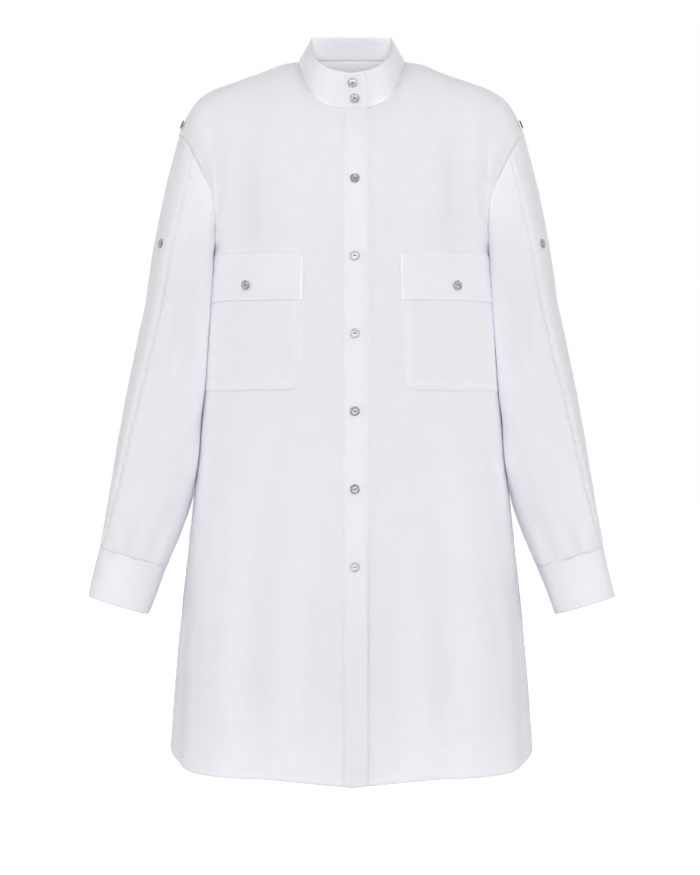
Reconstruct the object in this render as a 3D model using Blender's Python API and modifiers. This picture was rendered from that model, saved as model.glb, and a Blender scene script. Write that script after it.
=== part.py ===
"""A long linen shirt, filled out as if worn, with open neck, cuffs and hem.

The origin lies midway between the two neck points, where the collar meets the shoulder
seams. The front faces -Y, +Z is up and the wearer's left is +X. Each piece that is cut
and sewn is one object: a grid of points worked out from the tables, given its wall by
Solidify. Pieces that lie on a panel take the panel's own points, moved out.
"""

import math
from bisect import bisect_right
from collections import namedtuple

import bmesh
import bpy
from mathutils import Matrix, Vector

# Walls and gaps
CLOTH = 0.0012
BAND_WALL = 0.0020
PLACKET_WALL = 0.0010
LAYER_GAP = 0.0003
SEAM_INSET = 0.00025
ARM_INSET = 0.0007
OUTER_SEAM_INSET = 0.00045
FRONT_NECK_INSET = 0.0013
SHOULDER_NECK_INSET = 0.0028
BACK_NECK_INSET = 0.0008
COLLAR_INSET = 0.0009
CUFF_INSET = 0.0004

# Body
BODY_SQUARE = 2.4
SIDE_Y = 0.008
HEM_Z = -0.8575
CHEST_Z = -0.226
HEM_BEND_TOP = -0.62
HEM_BEND = 1.6
UPPER_ROWS = 10
ARM_SEAM = 54
NECK_TURN = 98
FRONT_NECK = 32.4
BACK_NECK = 155
FRONT_NECK_SPREAD = 0.84
BACK_NECK_SPREAD = 0.9
CHEST_CURVE = 1.5
SHOULDER_CURVE = 2.0
BACK_CURVE = 1.8
BACK_CURVE_STARTS = 100
ARM_BLEND = 35

# Front opening, measured from the middle of the shirt
OVERLAP_EDGE = 0.0178
UNDERLAP_EDGE = -0.0105
PLACKET_COLUMNS = 3
TUCK = 0.0017
TUCK_ENDS = 0.034

# Pockets, as angles round the body and heights
POCKET_INNER = 16.2
POCKET_CORNER = 20.0
POCKET_OUTER = 79.0
FLAP_TOP = -0.233
FLAP_BOTTOM = -0.290
POCKET_TOP = -0.240
POCKET_CORNER_Z = -0.385
POCKET_BOTTOM = -0.396
CORNER_ROUNDING = 0.32
BUTTON_ON_FLAP = 43.0
BUTTON_ON_FLAP_Z = -0.2725

# Columns of the panels, as angles from the placket and from the side seam to the middle back
FRONT_COLUMNS = (
    6.5, 11, POCKET_INNER, POCKET_CORNER, 26, FRONT_NECK, 40, 48, 56, 64, 72, POCKET_OUTER, 84.5, 90,
)
BACK_COLUMNS = (90, 96, 104, 112, 121, 130, 139, 147, BACK_NECK, 162, 169.5, 175)

# Sleeves and cuffs
SLEEVE_SQUARE = 2.2
SLEEVE_FRONT_COLUMNS = 7
SLEEVE_BACK_COLUMNS = 13
CAP_ROWS = 5
CAP_SWELL = 0.0045
UNDERARM_CLEARANCE = 0.0024
UNDERARM_SWELL = 0.0035
UNDERARM_SPAN = 110
SEAM_RIDGE = 0.0035
SEAM_RIDGE_WIDTH = 20
SEAM_RIDGE_FADES = 0.8
INNER_CORNER = 0.008
INNER_CORNER_TURNS = (90, 160)
INNER_CORNER_FADES = 0.8
SLEEVE_STEP = 0.030
CUFF_FREE_END = -46
CUFF_UNDER_END = 352
CUFF_TUCK = 0.0025
CUFF_TUCK_STARTS = 294
CUFF_TUCK_ENDS = 314
CUFF_ROWS = 3
CUFF_COLUMNS = 28
CUFF_BUTTON_TURN = -30
CUFF_BUTTON_ALONG = 0.5

# Collar
COLLAR_ROWS = 3
COLLAR_TUCK = 0.0025
COLLAR_BELLY = 0.0012
COLLAR_CENTRE_Y = -0.006
COLLAR_TUCK_STARTS = 40
COLLAR_OVER_END = 16.5
COLLAR_UNDER_END = 10

# Buttons
BUTTON_RADIUS = 0.0057
BUTTON_EDGE = 0.0015
BUTTON_HEIGHT = 0.0022
BUTTON_RIM = 0.0009
BUTTON_DISH = 0.0006
BUTTON_SIDES = 12
HOLE_RADIUS = 0.0008
HOLE_SIDES = 6
HOLE_SPACING = 0.0028
BUTTON_SEAT = 0.0004
PLACKET_BUTTONS = 6
FIRST_BUTTON_Z = -0.148
BUTTON_PITCH = 0.0908
SLEEVE_BUTTON_SHARE = 0.10
SLEEVE_BUTTON_STATION = -0.355
SLEEVE_BUTTON_SINK = 0.0007
SHOULDER_BUTTON_ALONG = 0.945
SHOULDER_BUTTON_REACH = 0.045
COLLAR_BUTTONS = (("upper", 1.0, 0.72), ("lower", 3.6, 0.29))
MERGED_WITHIN = 0.00001

# Small steps that give the slope of a surface under a button, and halvings that find a height
HEIGHT_STEP = 0.01
RISE_STEP = 0.05
TURN_STEP = 2
SHARE_STEP = 0.01
ALONG_STEP = 0.05
HALVINGS = 24

BodySection = namedtuple("BodySection", "z half_width front back")
BODY = (
    BodySection(-0.870, 0.2185, 0.158, 0.152),
    BodySection(-0.815, 0.2160, 0.156, 0.150),
    BodySection(-0.743, 0.2110, 0.152, 0.147),
    BodySection(-0.647, 0.2020, 0.147, 0.142),
    BodySection(-0.527, 0.1890, 0.141, 0.136),
    BodySection(-0.394, 0.1770, 0.135, 0.130),
    BodySection(-0.287, 0.1700, 0.132, 0.126),
    BodySection(-0.226, 0.1660, 0.129, 0.122),
)

# Rows of the panels between the hem and the chest
BODY_ROWS = (
    HEM_Z, -0.848, -0.815, -0.775, -0.730, -0.680, -0.630, -0.575, -0.520, -0.465, -0.425,
    POCKET_BOTTOM, POCKET_CORNER_Z, -0.360, -0.325, FLAP_BOTTOM, -0.265, POCKET_TOP, FLAP_TOP,
    CHEST_Z,
)

HemPoint = namedtuple("HemPoint", "turn lift")
HEM = (
    HemPoint(0, 0.000), HemPoint(10, 0.0045), HemPoint(16, 0.0068), HemPoint(25, 0.0083),
    HemPoint(38, 0.0092), HemPoint(47, 0.0100), HemPoint(58, 0.0125),
    HemPoint(71, 0.021), HemPoint(84, 0.032), HemPoint(90, 0.035), HemPoint(97, 0.032),
    HemPoint(110, 0.020), HemPoint(130, 0.009), HemPoint(180, 0.000),
)

ShoulderPoint = namedtuple("ShoulderPoint", "along x y z")
SHOULDER = (
    ShoulderPoint(0.00, 0.0636, 0.010, 0.0000),
    ShoulderPoint(0.11, 0.0815, 0.010, -0.0035),
    ShoulderPoint(0.24, 0.1010, 0.010, -0.0112),
    ShoulderPoint(0.48, 0.1410, 0.009, -0.0250),
    ShoulderPoint(0.62, 0.1640, 0.009, -0.0330),
    ShoulderPoint(0.77, 0.1840, 0.008, -0.0462),
    ShoulderPoint(0.89, 0.1967, 0.008, -0.0640),
    ShoulderPoint(1.00, 0.2068, 0.008, -0.0880),
)

ArmholePoint = namedtuple("ArmholePoint", "turn x y z")
ARMHOLE = (
    ArmholePoint(0, 0.2068, 0.008, -0.088),
    ArmholePoint(36, 0.1965, -0.026, -0.099),
    ArmholePoint(72, 0.1790, -0.049, -0.132),
    ArmholePoint(108, 0.1640, -0.056, -0.168),
    ArmholePoint(144, 0.1610, -0.040, -0.206),
    ArmholePoint(180, 0.1660, 0.008, -0.226),
    ArmholePoint(216, 0.1625, 0.054, -0.206),
    ArmholePoint(252, 0.1700, 0.070, -0.166),
    ArmholePoint(288, 0.1855, 0.063, -0.126),
    ArmholePoint(324, 0.2000, 0.038, -0.099),
    ArmholePoint(360, 0.2068, 0.008, -0.088),
)

NeckPoint = namedtuple("NeckPoint", "turn base_x base_y base_z top_x top_y top_z")
NECK = (
    NeckPoint(0, 0.0000, -0.072, -0.0645, 0.0000, -0.064, -0.0200),
    NeckPoint(30, 0.0310, -0.066, -0.0575, 0.0245, -0.058, -0.0145),
    NeckPoint(55, 0.0500, -0.046, -0.0400, 0.0390, -0.041, -0.0040),
    NeckPoint(80, 0.0600, -0.016, -0.0140, 0.0470, -0.014, 0.0080),
    NeckPoint(98, 0.0636, 0.010, 0.0000, 0.0484, 0.009, 0.0170),
    NeckPoint(120, 0.0620, 0.032, 0.0045, 0.0488, 0.030, 0.0265),
    NeckPoint(142, 0.0505, 0.045, 0.0062, 0.0482, 0.0465, 0.0334),
    NeckPoint(160, 0.0270, 0.049, 0.0068, 0.0260, 0.0500, 0.0338),
    NeckPoint(180, 0.0000, 0.050, 0.0070, 0.0000, 0.0505, 0.0340),
)

SleeveSection = namedtuple("SleeveSection", "along x y z half_width half_depth tilt seam_turn")
SLEEVE = (
    SleeveSection(0.00, 0.2093, 0.016, -0.2895, 0.0377, 0.062, 4, 70),
    SleeveSection(0.24, 0.2193, 0.014, -0.3620, 0.0432, 0.060, 5, 63),
    SleeveSection(0.48, 0.2294, 0.008, -0.4370, 0.0471, 0.057, 7, 53),
    SleeveSection(0.73, 0.2392, 0.000, -0.5115, 0.0495, 0.053, 11, 44),
    SleeveSection(0.86, 0.2490, -0.005, -0.5520, 0.0460, 0.051, 15, 37),
    SleeveSection(0.96, 0.2575, -0.010, -0.5815, 0.0428, 0.046, 17, 27),
    SleeveSection(1.00, 0.2613, -0.013, -0.5935, 0.0416, 0.042, 17, 20),
)

CuffSection = namedtuple("CuffSection", "along x y z half_width half_depth tilt")
CUFF = (
    CuffSection(0.0, 0.2613, -0.013, -0.5935, 0.0411, 0.0410, 17),
    CuffSection(1.0, 0.2786, -0.019, -0.6507, 0.0372, 0.0380, 16.5),
)

# Folds are troughs where depth is below zero, with turn and width in degrees
BODY_FOLD_ENDS = 1.0
SLEEVE_FOLD_ENDS = 1.5
Fold = namedtuple("Fold", "turn top bottom width depth lean")
BODY_FOLDS = (
    Fold(-45, -0.09, -0.285, 7.5, -0.0030, 3),
    Fold(43, -0.07, -0.290, 8.0, -0.0033, -4),
    Fold(-60, -0.38, -0.640, 7.0, -0.0028, -10),
    Fold(62, -0.40, -0.680, 7.5, -0.0026, 8),
    Fold(-38, -0.44, -1.050, 8.0, 0.0042, 4),
    Fold(-27, -0.52, -1.120, 6.0, -0.0048, 3),
    Fold(-13, -0.46, -1.080, 5.5, 0.0030, 2),
    Fold(36, -0.42, -1.060, 8.5, 0.0040, -4),
    Fold(25, -0.50, -1.120, 6.5, -0.0044, -3),
    Fold(14, -0.56, -1.080, 5.0, 0.0028, -2),
    Fold(-72, -0.50, -1.100, 7.0, -0.0034, 4),
    Fold(70, -0.52, -1.100, 7.5, -0.0030, -5),
    Fold(180, -0.16, -1.080, 9.0, -0.0030, 0),
    Fold(163, -0.34, -1.120, 7.5, 0.0046, -4),
    Fold(-161, -0.30, -1.120, 8.0, 0.0042, 5),
    Fold(147, -0.14, -0.360, 8.0, -0.0026, 6),
    Fold(-144, -0.12, -0.330, 7.0, -0.0024, -5),
    Fold(146, -0.46, -1.100, 7.0, -0.0050, -3),
    Fold(-143, -0.50, -1.110, 7.5, -0.0046, 4),
    Fold(128, -0.52, -1.090, 8.0, 0.0044, -2),
    Fold(-126, -0.48, -1.100, 7.0, 0.0046, 2),
    Fold(110, -0.42, -1.080, 7.0, -0.0034, 4),
    Fold(-109, -0.45, -1.080, 7.5, -0.0038, -3),
)

SleeveFold = namedtuple("SleeveFold", "turn top bottom width depth lean")
SLEEVE_FOLDS = (
    SleeveFold(118, -0.02, 0.34, 16, -0.0028, 30),
    SleeveFold(140, 0.30, 0.66, 15, -0.0034, -40),
    SleeveFold(205, 0.34, 0.72, 15, -0.0024, 36),
    SleeveFold(250, 0.28, 0.70, 17, -0.0044, -34),
    SleeveFold(300, 0.36, 0.80, 16, -0.0036, 30),
    SleeveFold(275, 0.60, 1.05, 14, -0.0036, -16),
    SleeveFold(76, 0.80, 1.10, 9, -0.0026, 4),
    SleeveFold(120, 0.76, 1.08, 12, -0.0024, -10),
    SleeveFold(315, 0.78, 1.08, 10, -0.0028, 8),
)

LINEN = (0.86, 0.86, 0.89, 1)
LINEN_ROUGHNESS = 0.85
LINEN_SHEEN = 0.3
BUTTON_GREY = (0.50, 0.50, 0.49, 1)
SHELL_ROUGHNESS = 0.25


def start_clean():
    for item in list(bpy.data.objects):
        bpy.data.objects.remove(item, do_unlink=True)


def made_material(name, colour, roughness, sheen):
    material = bpy.data.materials.new(name)
    material.use_nodes = True
    shader = material.node_tree.nodes["Principled BSDF"]
    shader.inputs["Base Color"].default_value = colour
    shader.inputs["Roughness"].default_value = roughness
    shader.inputs["Metallic"].default_value = 0.0
    shader.inputs["Sheen Weight"].default_value = sheen
    return material


def read(table, column, at):
    """A column of a table at a place along its first column, on a curve through its rows."""
    stops = [row[0] for row in table]
    values = [getattr(row, column) for row in table]
    at = min(max(at, stops[0]), stops[-1])
    steps = [(values[i + 1] - values[i]) / (stops[i + 1] - stops[i]) for i in range(len(stops) - 1)]
    slopes = [steps[0]]
    for before, after in zip(steps, steps[1:]):
        slopes.append(0.0 if before * after <= 0 else 2 * before * after / (before + after))
    slopes.append(steps[-1])
    i = min(bisect_right(stops, at), len(stops) - 1) - 1
    span = stops[i + 1] - stops[i]
    t = (at - stops[i]) / span
    return (
        (2 * t**3 - 3 * t**2 + 1) * values[i]
        + (t**3 - 2 * t**2 + t) * span * slopes[i]
        + (3 * t**2 - 2 * t**3) * values[i + 1]
        + (t**3 - t**2) * span * slopes[i + 1]
    )


def eased(value):
    value = min(max(value, 0.0), 1.0)
    return value * value * (3 - 2 * value)


def powered(value, square):
    return math.copysign(abs(value) ** (2 / square), value)


def wrapped(turn):
    """An angle brought between -180 and 180 degrees."""
    return (turn + 180) % 360 - 180


def fold_height(folds, turn, at, ends):
    """How far folds lift a surface at an angle and a place; higher ends fade their tips more."""
    total = 0.0
    for fold in folds:
        along = (fold.top - at) / (fold.top - fold.bottom)
        if 0 < along < 1:
            centre = fold.turn + fold.lean * (along - 0.5)
            across = wrapped(turn - centre) / fold.width
            total += fold.depth * math.exp(-across * across) * math.sin(math.pi * along) ** ends
    return total


def body_point(turn, z):
    """A point of the body below the chest, turn degrees round from the centre front."""
    sine = math.sin(math.radians(turn))
    cosine = math.cos(math.radians(turn))
    depth = read(BODY, "front" if cosine > 0 else "back", z)
    x = read(BODY, "half_width", z) * powered(sine, BODY_SQUARE)
    y = SIDE_Y - depth * powered(cosine, BODY_SQUARE)
    push = fold_height(BODY_FOLDS, turn, z, BODY_FOLD_ENDS)
    return Vector((x + push * sine, y - push * cosine, z))


def body_turn(x, z):
    """The angle round the body's front of a distance from its middle."""
    share = min(abs(x) / read(BODY, "half_width", z), 1.0)
    return math.copysign(math.degrees(math.asin(share ** (BODY_SQUARE / 2))), x)


def hem_lift(turn, z):
    share = max(0.0, (HEM_BEND_TOP - z) / (HEM_BEND_TOP - HEM_Z))
    return read(HEM, "lift", abs(wrapped(turn))) * share**HEM_BEND


def neck_point(turn, end):
    """A point of the collar's base or top line, turn degrees round from the front."""
    side = abs(wrapped(turn))
    x = math.copysign(read(NECK, end + "_x", side), wrapped(turn))
    return Vector((x, read(NECK, end + "_y", side), read(NECK, end + "_z", side)))


def neck_turn(turn):
    """The place round the neck where a column of the body ends."""
    side = abs(wrapped(turn))
    if side < 90:
        around = NECK_TURN * (side / FRONT_NECK) ** FRONT_NECK_SPREAD
    else:
        around = 180 - (180 - NECK_TURN) * ((180 - side) / (180 - BACK_NECK)) ** BACK_NECK_SPREAD
    return math.copysign(around, wrapped(turn))


def top_point(turn):
    """Where a column of the body ends, on the neckline or on the shoulder seam."""
    side = abs(wrapped(turn))
    if side <= FRONT_NECK or side >= BACK_NECK:
        return neck_point(neck_turn(turn), "base")
    if side <= 90:
        along = (side - FRONT_NECK) / (90 - FRONT_NECK)
    else:
        along = (BACK_NECK - side) / (BACK_NECK - 90)
    point = Vector([read(SHOULDER, axis, along) for axis in "xyz"])
    point.x = math.copysign(point.x, wrapped(turn))
    return point


def armhole_point(turn, side):
    return Vector((
        side * read(ARMHOLE, "x", turn % 360),
        read(ARMHOLE, "y", turn % 360),
        read(ARMHOLE, "z", turn % 360),
    ))


def rise_path(turn, rise, curve):
    """A point on the way from the chest row to the neckline or shoulder seam."""
    low = body_point(turn, CHEST_Z)
    high = top_point(turn)
    out = math.cos(math.pi / 2 * rise) ** (2 / curve) if rise < 1 else 0.0
    up = math.sin(math.pi / 2 * rise) ** (2 / curve)
    point = high + (low - high) * out
    point.z = low.z + (high.z - low.z) * up
    return point


def upper_point(turn, rise, front=True):
    side = abs(wrapped(turn))
    if front:
        curve = CHEST_CURVE + (SHOULDER_CURVE - CHEST_CURVE) * eased(side / FRONT_NECK)
        arm_turn = 180 * (1 - rise)
    else:
        towards_neck = eased((side - BACK_CURVE_STARTS) / (BACK_NECK - BACK_CURVE_STARTS))
        curve = SHOULDER_CURVE + (BACK_CURVE - SHOULDER_CURVE) * towards_neck
        arm_turn = 180 * (1 + rise)
    point = rise_path(turn, rise, curve)
    share = eased(1 - abs(side - 90) / ARM_BLEND)
    if share > 0:
        hand = math.copysign(1, wrapped(turn))
        straight = rise_path(hand * 90, rise, SHOULDER_CURVE)
        point += share * (armhole_point(arm_turn % 360, hand) - straight)
    if rise > 0:
        angle = math.radians(turn)
        push = fold_height(BODY_FOLDS, turn, point.z, BODY_FOLD_ENDS) * math.cos(math.pi / 2 * rise)
        point += push * (1 - share) * Vector((math.sin(angle), -math.cos(angle), 0))
    return point


def panel(turns, front, edge_at=None):
    """Rows of a body panel from hem to top; edge_at gives x for the columns at its free edge."""
    rows = []
    for z in BODY_ROWS:
        row = []
        for column, turn in enumerate(turns):
            height = z + hem_lift(turn, z)
            if edge_at and column < len(edge_at):
                turn = body_turn(edge_at[column], height)
            row.append(body_point(turn, height))
        rows.append(row)
    for step in range(1, UPPER_ROWS + 1):
        rise = step / UPPER_ROWS
        row = [upper_point(turn, rise, front) for turn in turns]
        for column, x in enumerate(edge_at or ()):
            row[column].x = x
        rows.append(row)
    return rows


def moved_towards(point, other, distance):
    return point + (other - point).normalized() * distance


def inset_row(rows, index, inner, distance):
    for column, point in enumerate(rows[index]):
        rows[index][column] = moved_towards(point, rows[inner][column], distance)


def inset_column(rows, index, inner, distance):
    for row in rows:
        row[index] = moved_towards(row[index], row[inner], distance)


def normal_at(rows, r, c):
    """The outward normal of a grid whose rows rise and whose columns run from front to side."""
    across = rows[r][min(c + 1, len(rows[0]) - 1)] - rows[r][max(c - 1, 0)]
    along = rows[min(r + 1, len(rows) - 1)][c] - rows[max(r - 1, 0)][c]
    normal = across.cross(along).normalized()
    outward = Vector((rows[r][c].x, rows[r][c].y - SIDE_Y, 0))
    return normal if normal.dot(outward) > 0 else -normal


def moved_out(rows, row_range, column_range, distance):
    """Part of a panel's grid, moved out along the panel's normals."""
    return [[rows[r][c] + normal_at(rows, r, c) * distance for c in column_range] for r in row_range]


def wall_of(name, rows, wall, material, parent):
    """A cloth wall round a grid of points, as an open surface with Solidify."""
    width = len(rows[0])
    faces = []
    for r in range(len(rows) - 1):
        for c in range(width - 1):
            corner = r * width + c
            faces.append((corner, corner + 1, corner + width + 1, corner + width))
    mesh = bpy.data.meshes.new(name)
    mesh.from_pydata([point for row in rows for point in row], [], faces)
    mesh.shade_smooth()
    mesh.materials.append(material)
    piece = bpy.data.objects.new(name, mesh)
    solidify = piece.modifiers.new("Wall", "SOLIDIFY")
    solidify.thickness = wall
    solidify.offset = 0
    piece.parent = parent
    parent.users_collection[0].objects.link(piece)
    return piece


def tucked(rows):
    """The under front's rows, moved in behind the front that laps over it."""
    moved = []
    for r, row in enumerate(rows):
        depths = [TUCK * eased((TUCK_ENDS - point.x) / (TUCK_ENDS - OVERLAP_EDGE)) for point in row]
        moved.append([point - normal_at(rows, r, c) * depths[c] for c, point in enumerate(row)])
    return moved


def front_panels(linen, parent):
    """Both fronts; the wearer's right one laps over the left one and carries the placket."""
    middle = (OVERLAP_EDGE + UNDERLAP_EDGE) / 2
    panels = {}
    for name, hand in (("right", -1), ("left", 1)):
        edges = (OVERLAP_EDGE, middle, UNDERLAP_EDGE)
        if hand > 0:
            edges = edges[::-1]
        turns = [body_turn(x, CHEST_Z) for x in edges]
        turns += [hand * turn for turn in FRONT_COLUMNS]
        rows = panel(turns, True, edges)
        panels[name] = tucked(rows) if hand > 0 else rows
    for name, rows in panels.items():
        cut = [list(row) for row in rows]
        for column, point in enumerate(cut[-1]):
            towards_shoulder = eased(abs(point.x) / SHOULDER[0].x)
            inset = FRONT_NECK_INSET + (SHOULDER_NECK_INSET - FRONT_NECK_INSET) * towards_shoulder
            if abs(point.x) > SHOULDER[0].x:
                inset = SEAM_INSET
            cut[-1][column] = moved_towards(point, cut[-2][column], inset)
        inset_column(cut, -1, -2, SEAM_INSET)
        wall_of(f"front_{name}", cut, CLOTH, linen, parent)
    return panels


def back_panel(linen, parent):
    turns = [*BACK_COLUMNS, 180] + [360 - turn for turn in reversed(BACK_COLUMNS)]
    rows = panel(turns, False)
    cut = [list(row) for row in rows]
    inset_row(cut, -1, -2, BACK_NECK_INSET)
    inset_column(cut, -1, -2, SEAM_INSET)
    inset_column(cut, 0, 1, SEAM_INSET)
    wall_of("back", cut, CLOTH, linen, parent)
    return turns


def placket_band(panels, linen, parent):
    lift = CLOTH / 2 + LAYER_GAP + PLACKET_WALL / 2
    rows = moved_out(panels["right"], range(len(panels["right"])), range(PLACKET_COLUMNS), lift)
    inset_row(rows, -1, -2, FRONT_NECK_INSET + lift)
    wall_of("placket", rows, PLACKET_WALL, linen, parent)


def row_index(z):
    return BODY_ROWS.index(z)


def rounded_corner(rows, r, c, inner_row, inner_column):
    corner = rows[r][c]
    reach = (rows[inner_row][c] - corner) + (rows[r][inner_column] - corner)
    rows[r][c] = corner + CORNER_ROUNDING * reach


def pockets(panels, linen, parent):
    """A patch pocket and its flap on each front, one over the other."""
    first = PLACKET_COLUMNS + FRONT_COLUMNS.index(POCKET_INNER)
    columns = range(first, PLACKET_COLUMNS + FRONT_COLUMNS.index(POCKET_OUTER) + 1)
    pocket_lift = CLOTH + LAYER_GAP
    flap_lift = 2 * (CLOTH + LAYER_GAP)
    for name, rows in panels.items():
        pocket_rows = range(row_index(POCKET_BOTTOM), row_index(POCKET_TOP) + 1)
        pocket = moved_out(rows, pocket_rows, columns, pocket_lift)
        rounded_corner(pocket, 0, 0, 1, 1)
        wall_of(f"pocket_{name}", pocket, CLOTH, linen, parent)
        flap_rows = range(row_index(FLAP_BOTTOM), row_index(FLAP_TOP) + 1)
        flap = moved_out(rows, flap_rows, columns, flap_lift)
        wall_of(f"pocket_flap_{name}", flap, CLOTH, linen, parent)


def collar_band(turns, linen, parent):
    """A standing collar whose wearer's right end laps over the left one."""
    over = [COLLAR_OVER_END, COLLAR_OVER_END / 2, 0, -COLLAR_UNDER_END]
    around = [-(neck_turn(turn) % 360) for turn in turns]
    under = [COLLAR_OVER_END - 360, COLLAR_OVER_END / 2 - 360, -360, -360 - COLLAR_UNDER_END]
    stops = over + around + under
    rows = []
    for step in range(COLLAR_ROWS + 1):
        share = step / COLLAR_ROWS
        row = []
        for stop in stops:
            base = neck_point(stop, "base")
            top = neck_point(stop, "top")
            point = base.lerp(top, share)
            outward = Vector((point.x, point.y - COLLAR_CENTRE_Y, 0)).normalized()
            before_lap = -stop - (360 - COLLAR_TUCK_STARTS)
            tuck = COLLAR_TUCK * eased(before_lap / (COLLAR_TUCK_STARTS - COLLAR_OVER_END))
            point += outward * (COLLAR_BELLY * math.sin(math.pi * share) - tuck)
            row.append(point)
        rows.append(row)
    inset_row(rows, 0, 1, COLLAR_INSET)
    wall_of("collar", rows, BAND_WALL, linen, parent)


def sleeve_ring(section, turn, side, push=0.0):
    """A point of a sleeve or cuff section, turn degrees from its outer side towards the front."""
    tilt = math.radians(section.tilt)
    cosine = math.cos(math.radians(turn))
    sine = math.sin(math.radians(turn))
    out = section.half_width * powered(cosine, SLEEVE_SQUARE) + push * cosine
    front = section.half_depth * powered(sine, SLEEVE_SQUARE) + push * sine
    return Vector((
        side * (section.x + out * math.cos(tilt)), section.y - front, section.z + out * math.sin(tilt)
    ))


def section_at(table, kind, along):
    return kind(along, *[read(table, column, along) for column in kind._fields[1:]])


def sleeve_point(share, front_piece, station, side):
    """A point of a sleeve piece: share runs from the outer seam to the underarm seam."""
    along = max(station, 0.0)
    section = section_at(SLEEVE, SleeveSection, along)
    first = section.seam_turn
    last = 180
    if not front_piece:
        first += 360
    turn = first + (last - first) * share
    ridge = SEAM_RIDGE * math.exp(-((wrapped(turn - section.seam_turn) / SEAM_RIDGE_WIDTH) ** 2))
    ridge *= 1 - eased((along - SEAM_RIDGE_FADES) / (1 - SEAM_RIDGE_FADES))
    push = ridge + fold_height(SLEEVE_FOLDS, turn, along, SLEEVE_FOLD_ENDS)
    low, high = INNER_CORNER_TURNS
    if low < turn < high:
        # the front of the sleeve lies full against the body
        corner = math.sin(math.pi * (turn - low) / (high - low)) ** 2
        push += INNER_CORNER * corner * (1 - eased((along - INNER_CORNER_FADES) / (1 - INNER_CORNER_FADES)))
    point = sleeve_ring(section, turn, side, push)
    if station >= 0:
        return point
    arm_first = ARM_SEAM if front_piece else ARM_SEAM + 360
    arm_turn = arm_first + (180 - arm_first) * share
    start = armhole_point(round(arm_turn, 6), side)
    under = eased(1 - abs(wrapped(arm_turn - 180)) / UNDERARM_SPAN)
    blend = station + 1
    hump = 4 * blend * (1 - blend)
    start.x += side * (UNDERARM_CLEARANCE + UNDERARM_SWELL * hump) * under
    swell = hump * CAP_SWELL * (1 - under)
    outer = Vector((side * max(math.cos(math.radians(arm_turn)), 0), -math.sin(math.radians(arm_turn)), 0))
    return start.lerp(point, blend) + outer * swell


def sleeves(linen, parent):
    """Each sleeve is cut in two pieces that meet on the outer arm and under the arm."""
    length = abs(SLEEVE[-1].z - SLEEVE[0].z)
    count = round(length / SLEEVE_STEP)
    stations = [step / CAP_ROWS - 1 for step in range(CAP_ROWS)]
    stations += [step / count for step in range(count + 1)]
    for name, side in (("right", -1), ("left", 1)):
        for piece, columns in (("front", SLEEVE_FRONT_COLUMNS), ("back", SLEEVE_BACK_COLUMNS)):
            front_piece = piece == "front"
            rows = [
                [sleeve_point(c / columns, front_piece, station, side) for c in range(columns + 1)]
                for station in stations
            ]
            inset_row(rows, 0, 1, ARM_INSET)
            inset_row(rows, -1, -2, CUFF_INSET)
            inset_column(rows, 0, 1, OUTER_SEAM_INSET)
            inset_column(rows, -1, -2, SEAM_INSET)
            wall_of(f"sleeve_{piece}_{name}", rows, CLOTH, linen, parent)


def cuff_point(turn, along, side):
    section = section_at(CUFF, CuffSection, along)
    tuck = CUFF_TUCK * eased((turn - CUFF_TUCK_STARTS) / (CUFF_TUCK_ENDS - CUFF_TUCK_STARTS))
    return sleeve_ring(section, turn, side, -tuck)


def cuffs(linen, parent):
    span = CUFF_UNDER_END - CUFF_FREE_END
    for name, side in (("right", -1), ("left", 1)):
        rows = []
        for step in range(CUFF_ROWS + 1):
            turns = [CUFF_FREE_END + span * c / CUFF_COLUMNS for c in range(CUFF_COLUMNS + 1)]
            rows.append([cuff_point(turn, step / CUFF_ROWS, side) for turn in turns])
        wall_of(f"cuff_{name}", rows, BAND_WALL, linen, parent)


def button_mesh(material):
    """A dished button with two holes side by side, turned about Z with its back at the origin."""
    radius = BUTTON_RADIUS
    profile = (
        (0, BUTTON_HEIGHT - BUTTON_DISH),
        (radius - 2 * BUTTON_RIM, BUTTON_HEIGHT - BUTTON_DISH),
        (radius - BUTTON_RIM, BUTTON_HEIGHT),
        (radius, BUTTON_EDGE),
        (radius, 0),
        (0, 0),
    )
    mesh = bpy.data.meshes.new("button")
    edges = [(i, i + 1) for i in range(len(profile) - 1)]
    mesh.from_pydata([(x, 0, z) for x, z in profile], edges, [])
    turned = bpy.data.objects.new("button_turned", mesh)
    bpy.context.scene.collection.objects.link(turned)
    screw = turned.modifiers.new("Turn", "SCREW")
    screw.steps = BUTTON_SIDES
    screw.render_steps = BUTTON_SIDES
    screw.use_merge_vertices = True
    screw.merge_threshold = MERGED_WITHIN
    cutters = bpy.data.collections.new("cutters")
    bpy.context.scene.collection.children.link(cutters)
    for sign in (-1, 1):
        hole = bmesh.new()
        place = Matrix.Translation((sign * HOLE_SPACING / 2, 0, BUTTON_HEIGHT / 2))
        bmesh.ops.create_cone(
            hole, cap_ends=True, segments=HOLE_SIDES, radius1=HOLE_RADIUS, radius2=HOLE_RADIUS,
            depth=2 * BUTTON_HEIGHT, matrix=place,
        )
        hole_mesh = bpy.data.meshes.new("hole")
        hole.to_mesh(hole_mesh)
        hole.free()
        cutter = bpy.data.objects.new("hole_cutter", hole_mesh)
        cutter.hide_render = True
        cutter.display_type = "WIRE"
        cutters.objects.link(cutter)
        cut = turned.modifiers.new("Hole", "BOOLEAN")
        cut.operation = "DIFFERENCE"
        cut.object = cutter
    evaluated = turned.evaluated_get(bpy.context.evaluated_depsgraph_get())
    finished = bpy.data.meshes.new_from_object(evaluated)
    finished.name = "button"
    finished.materials.clear()
    finished.materials.append(material)
    bpy.data.objects.remove(turned, do_unlink=True)
    for cutter in list(cutters.objects):
        bpy.data.objects.remove(cutter, do_unlink=True)
    bpy.data.collections.remove(cutters)
    return finished


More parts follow.
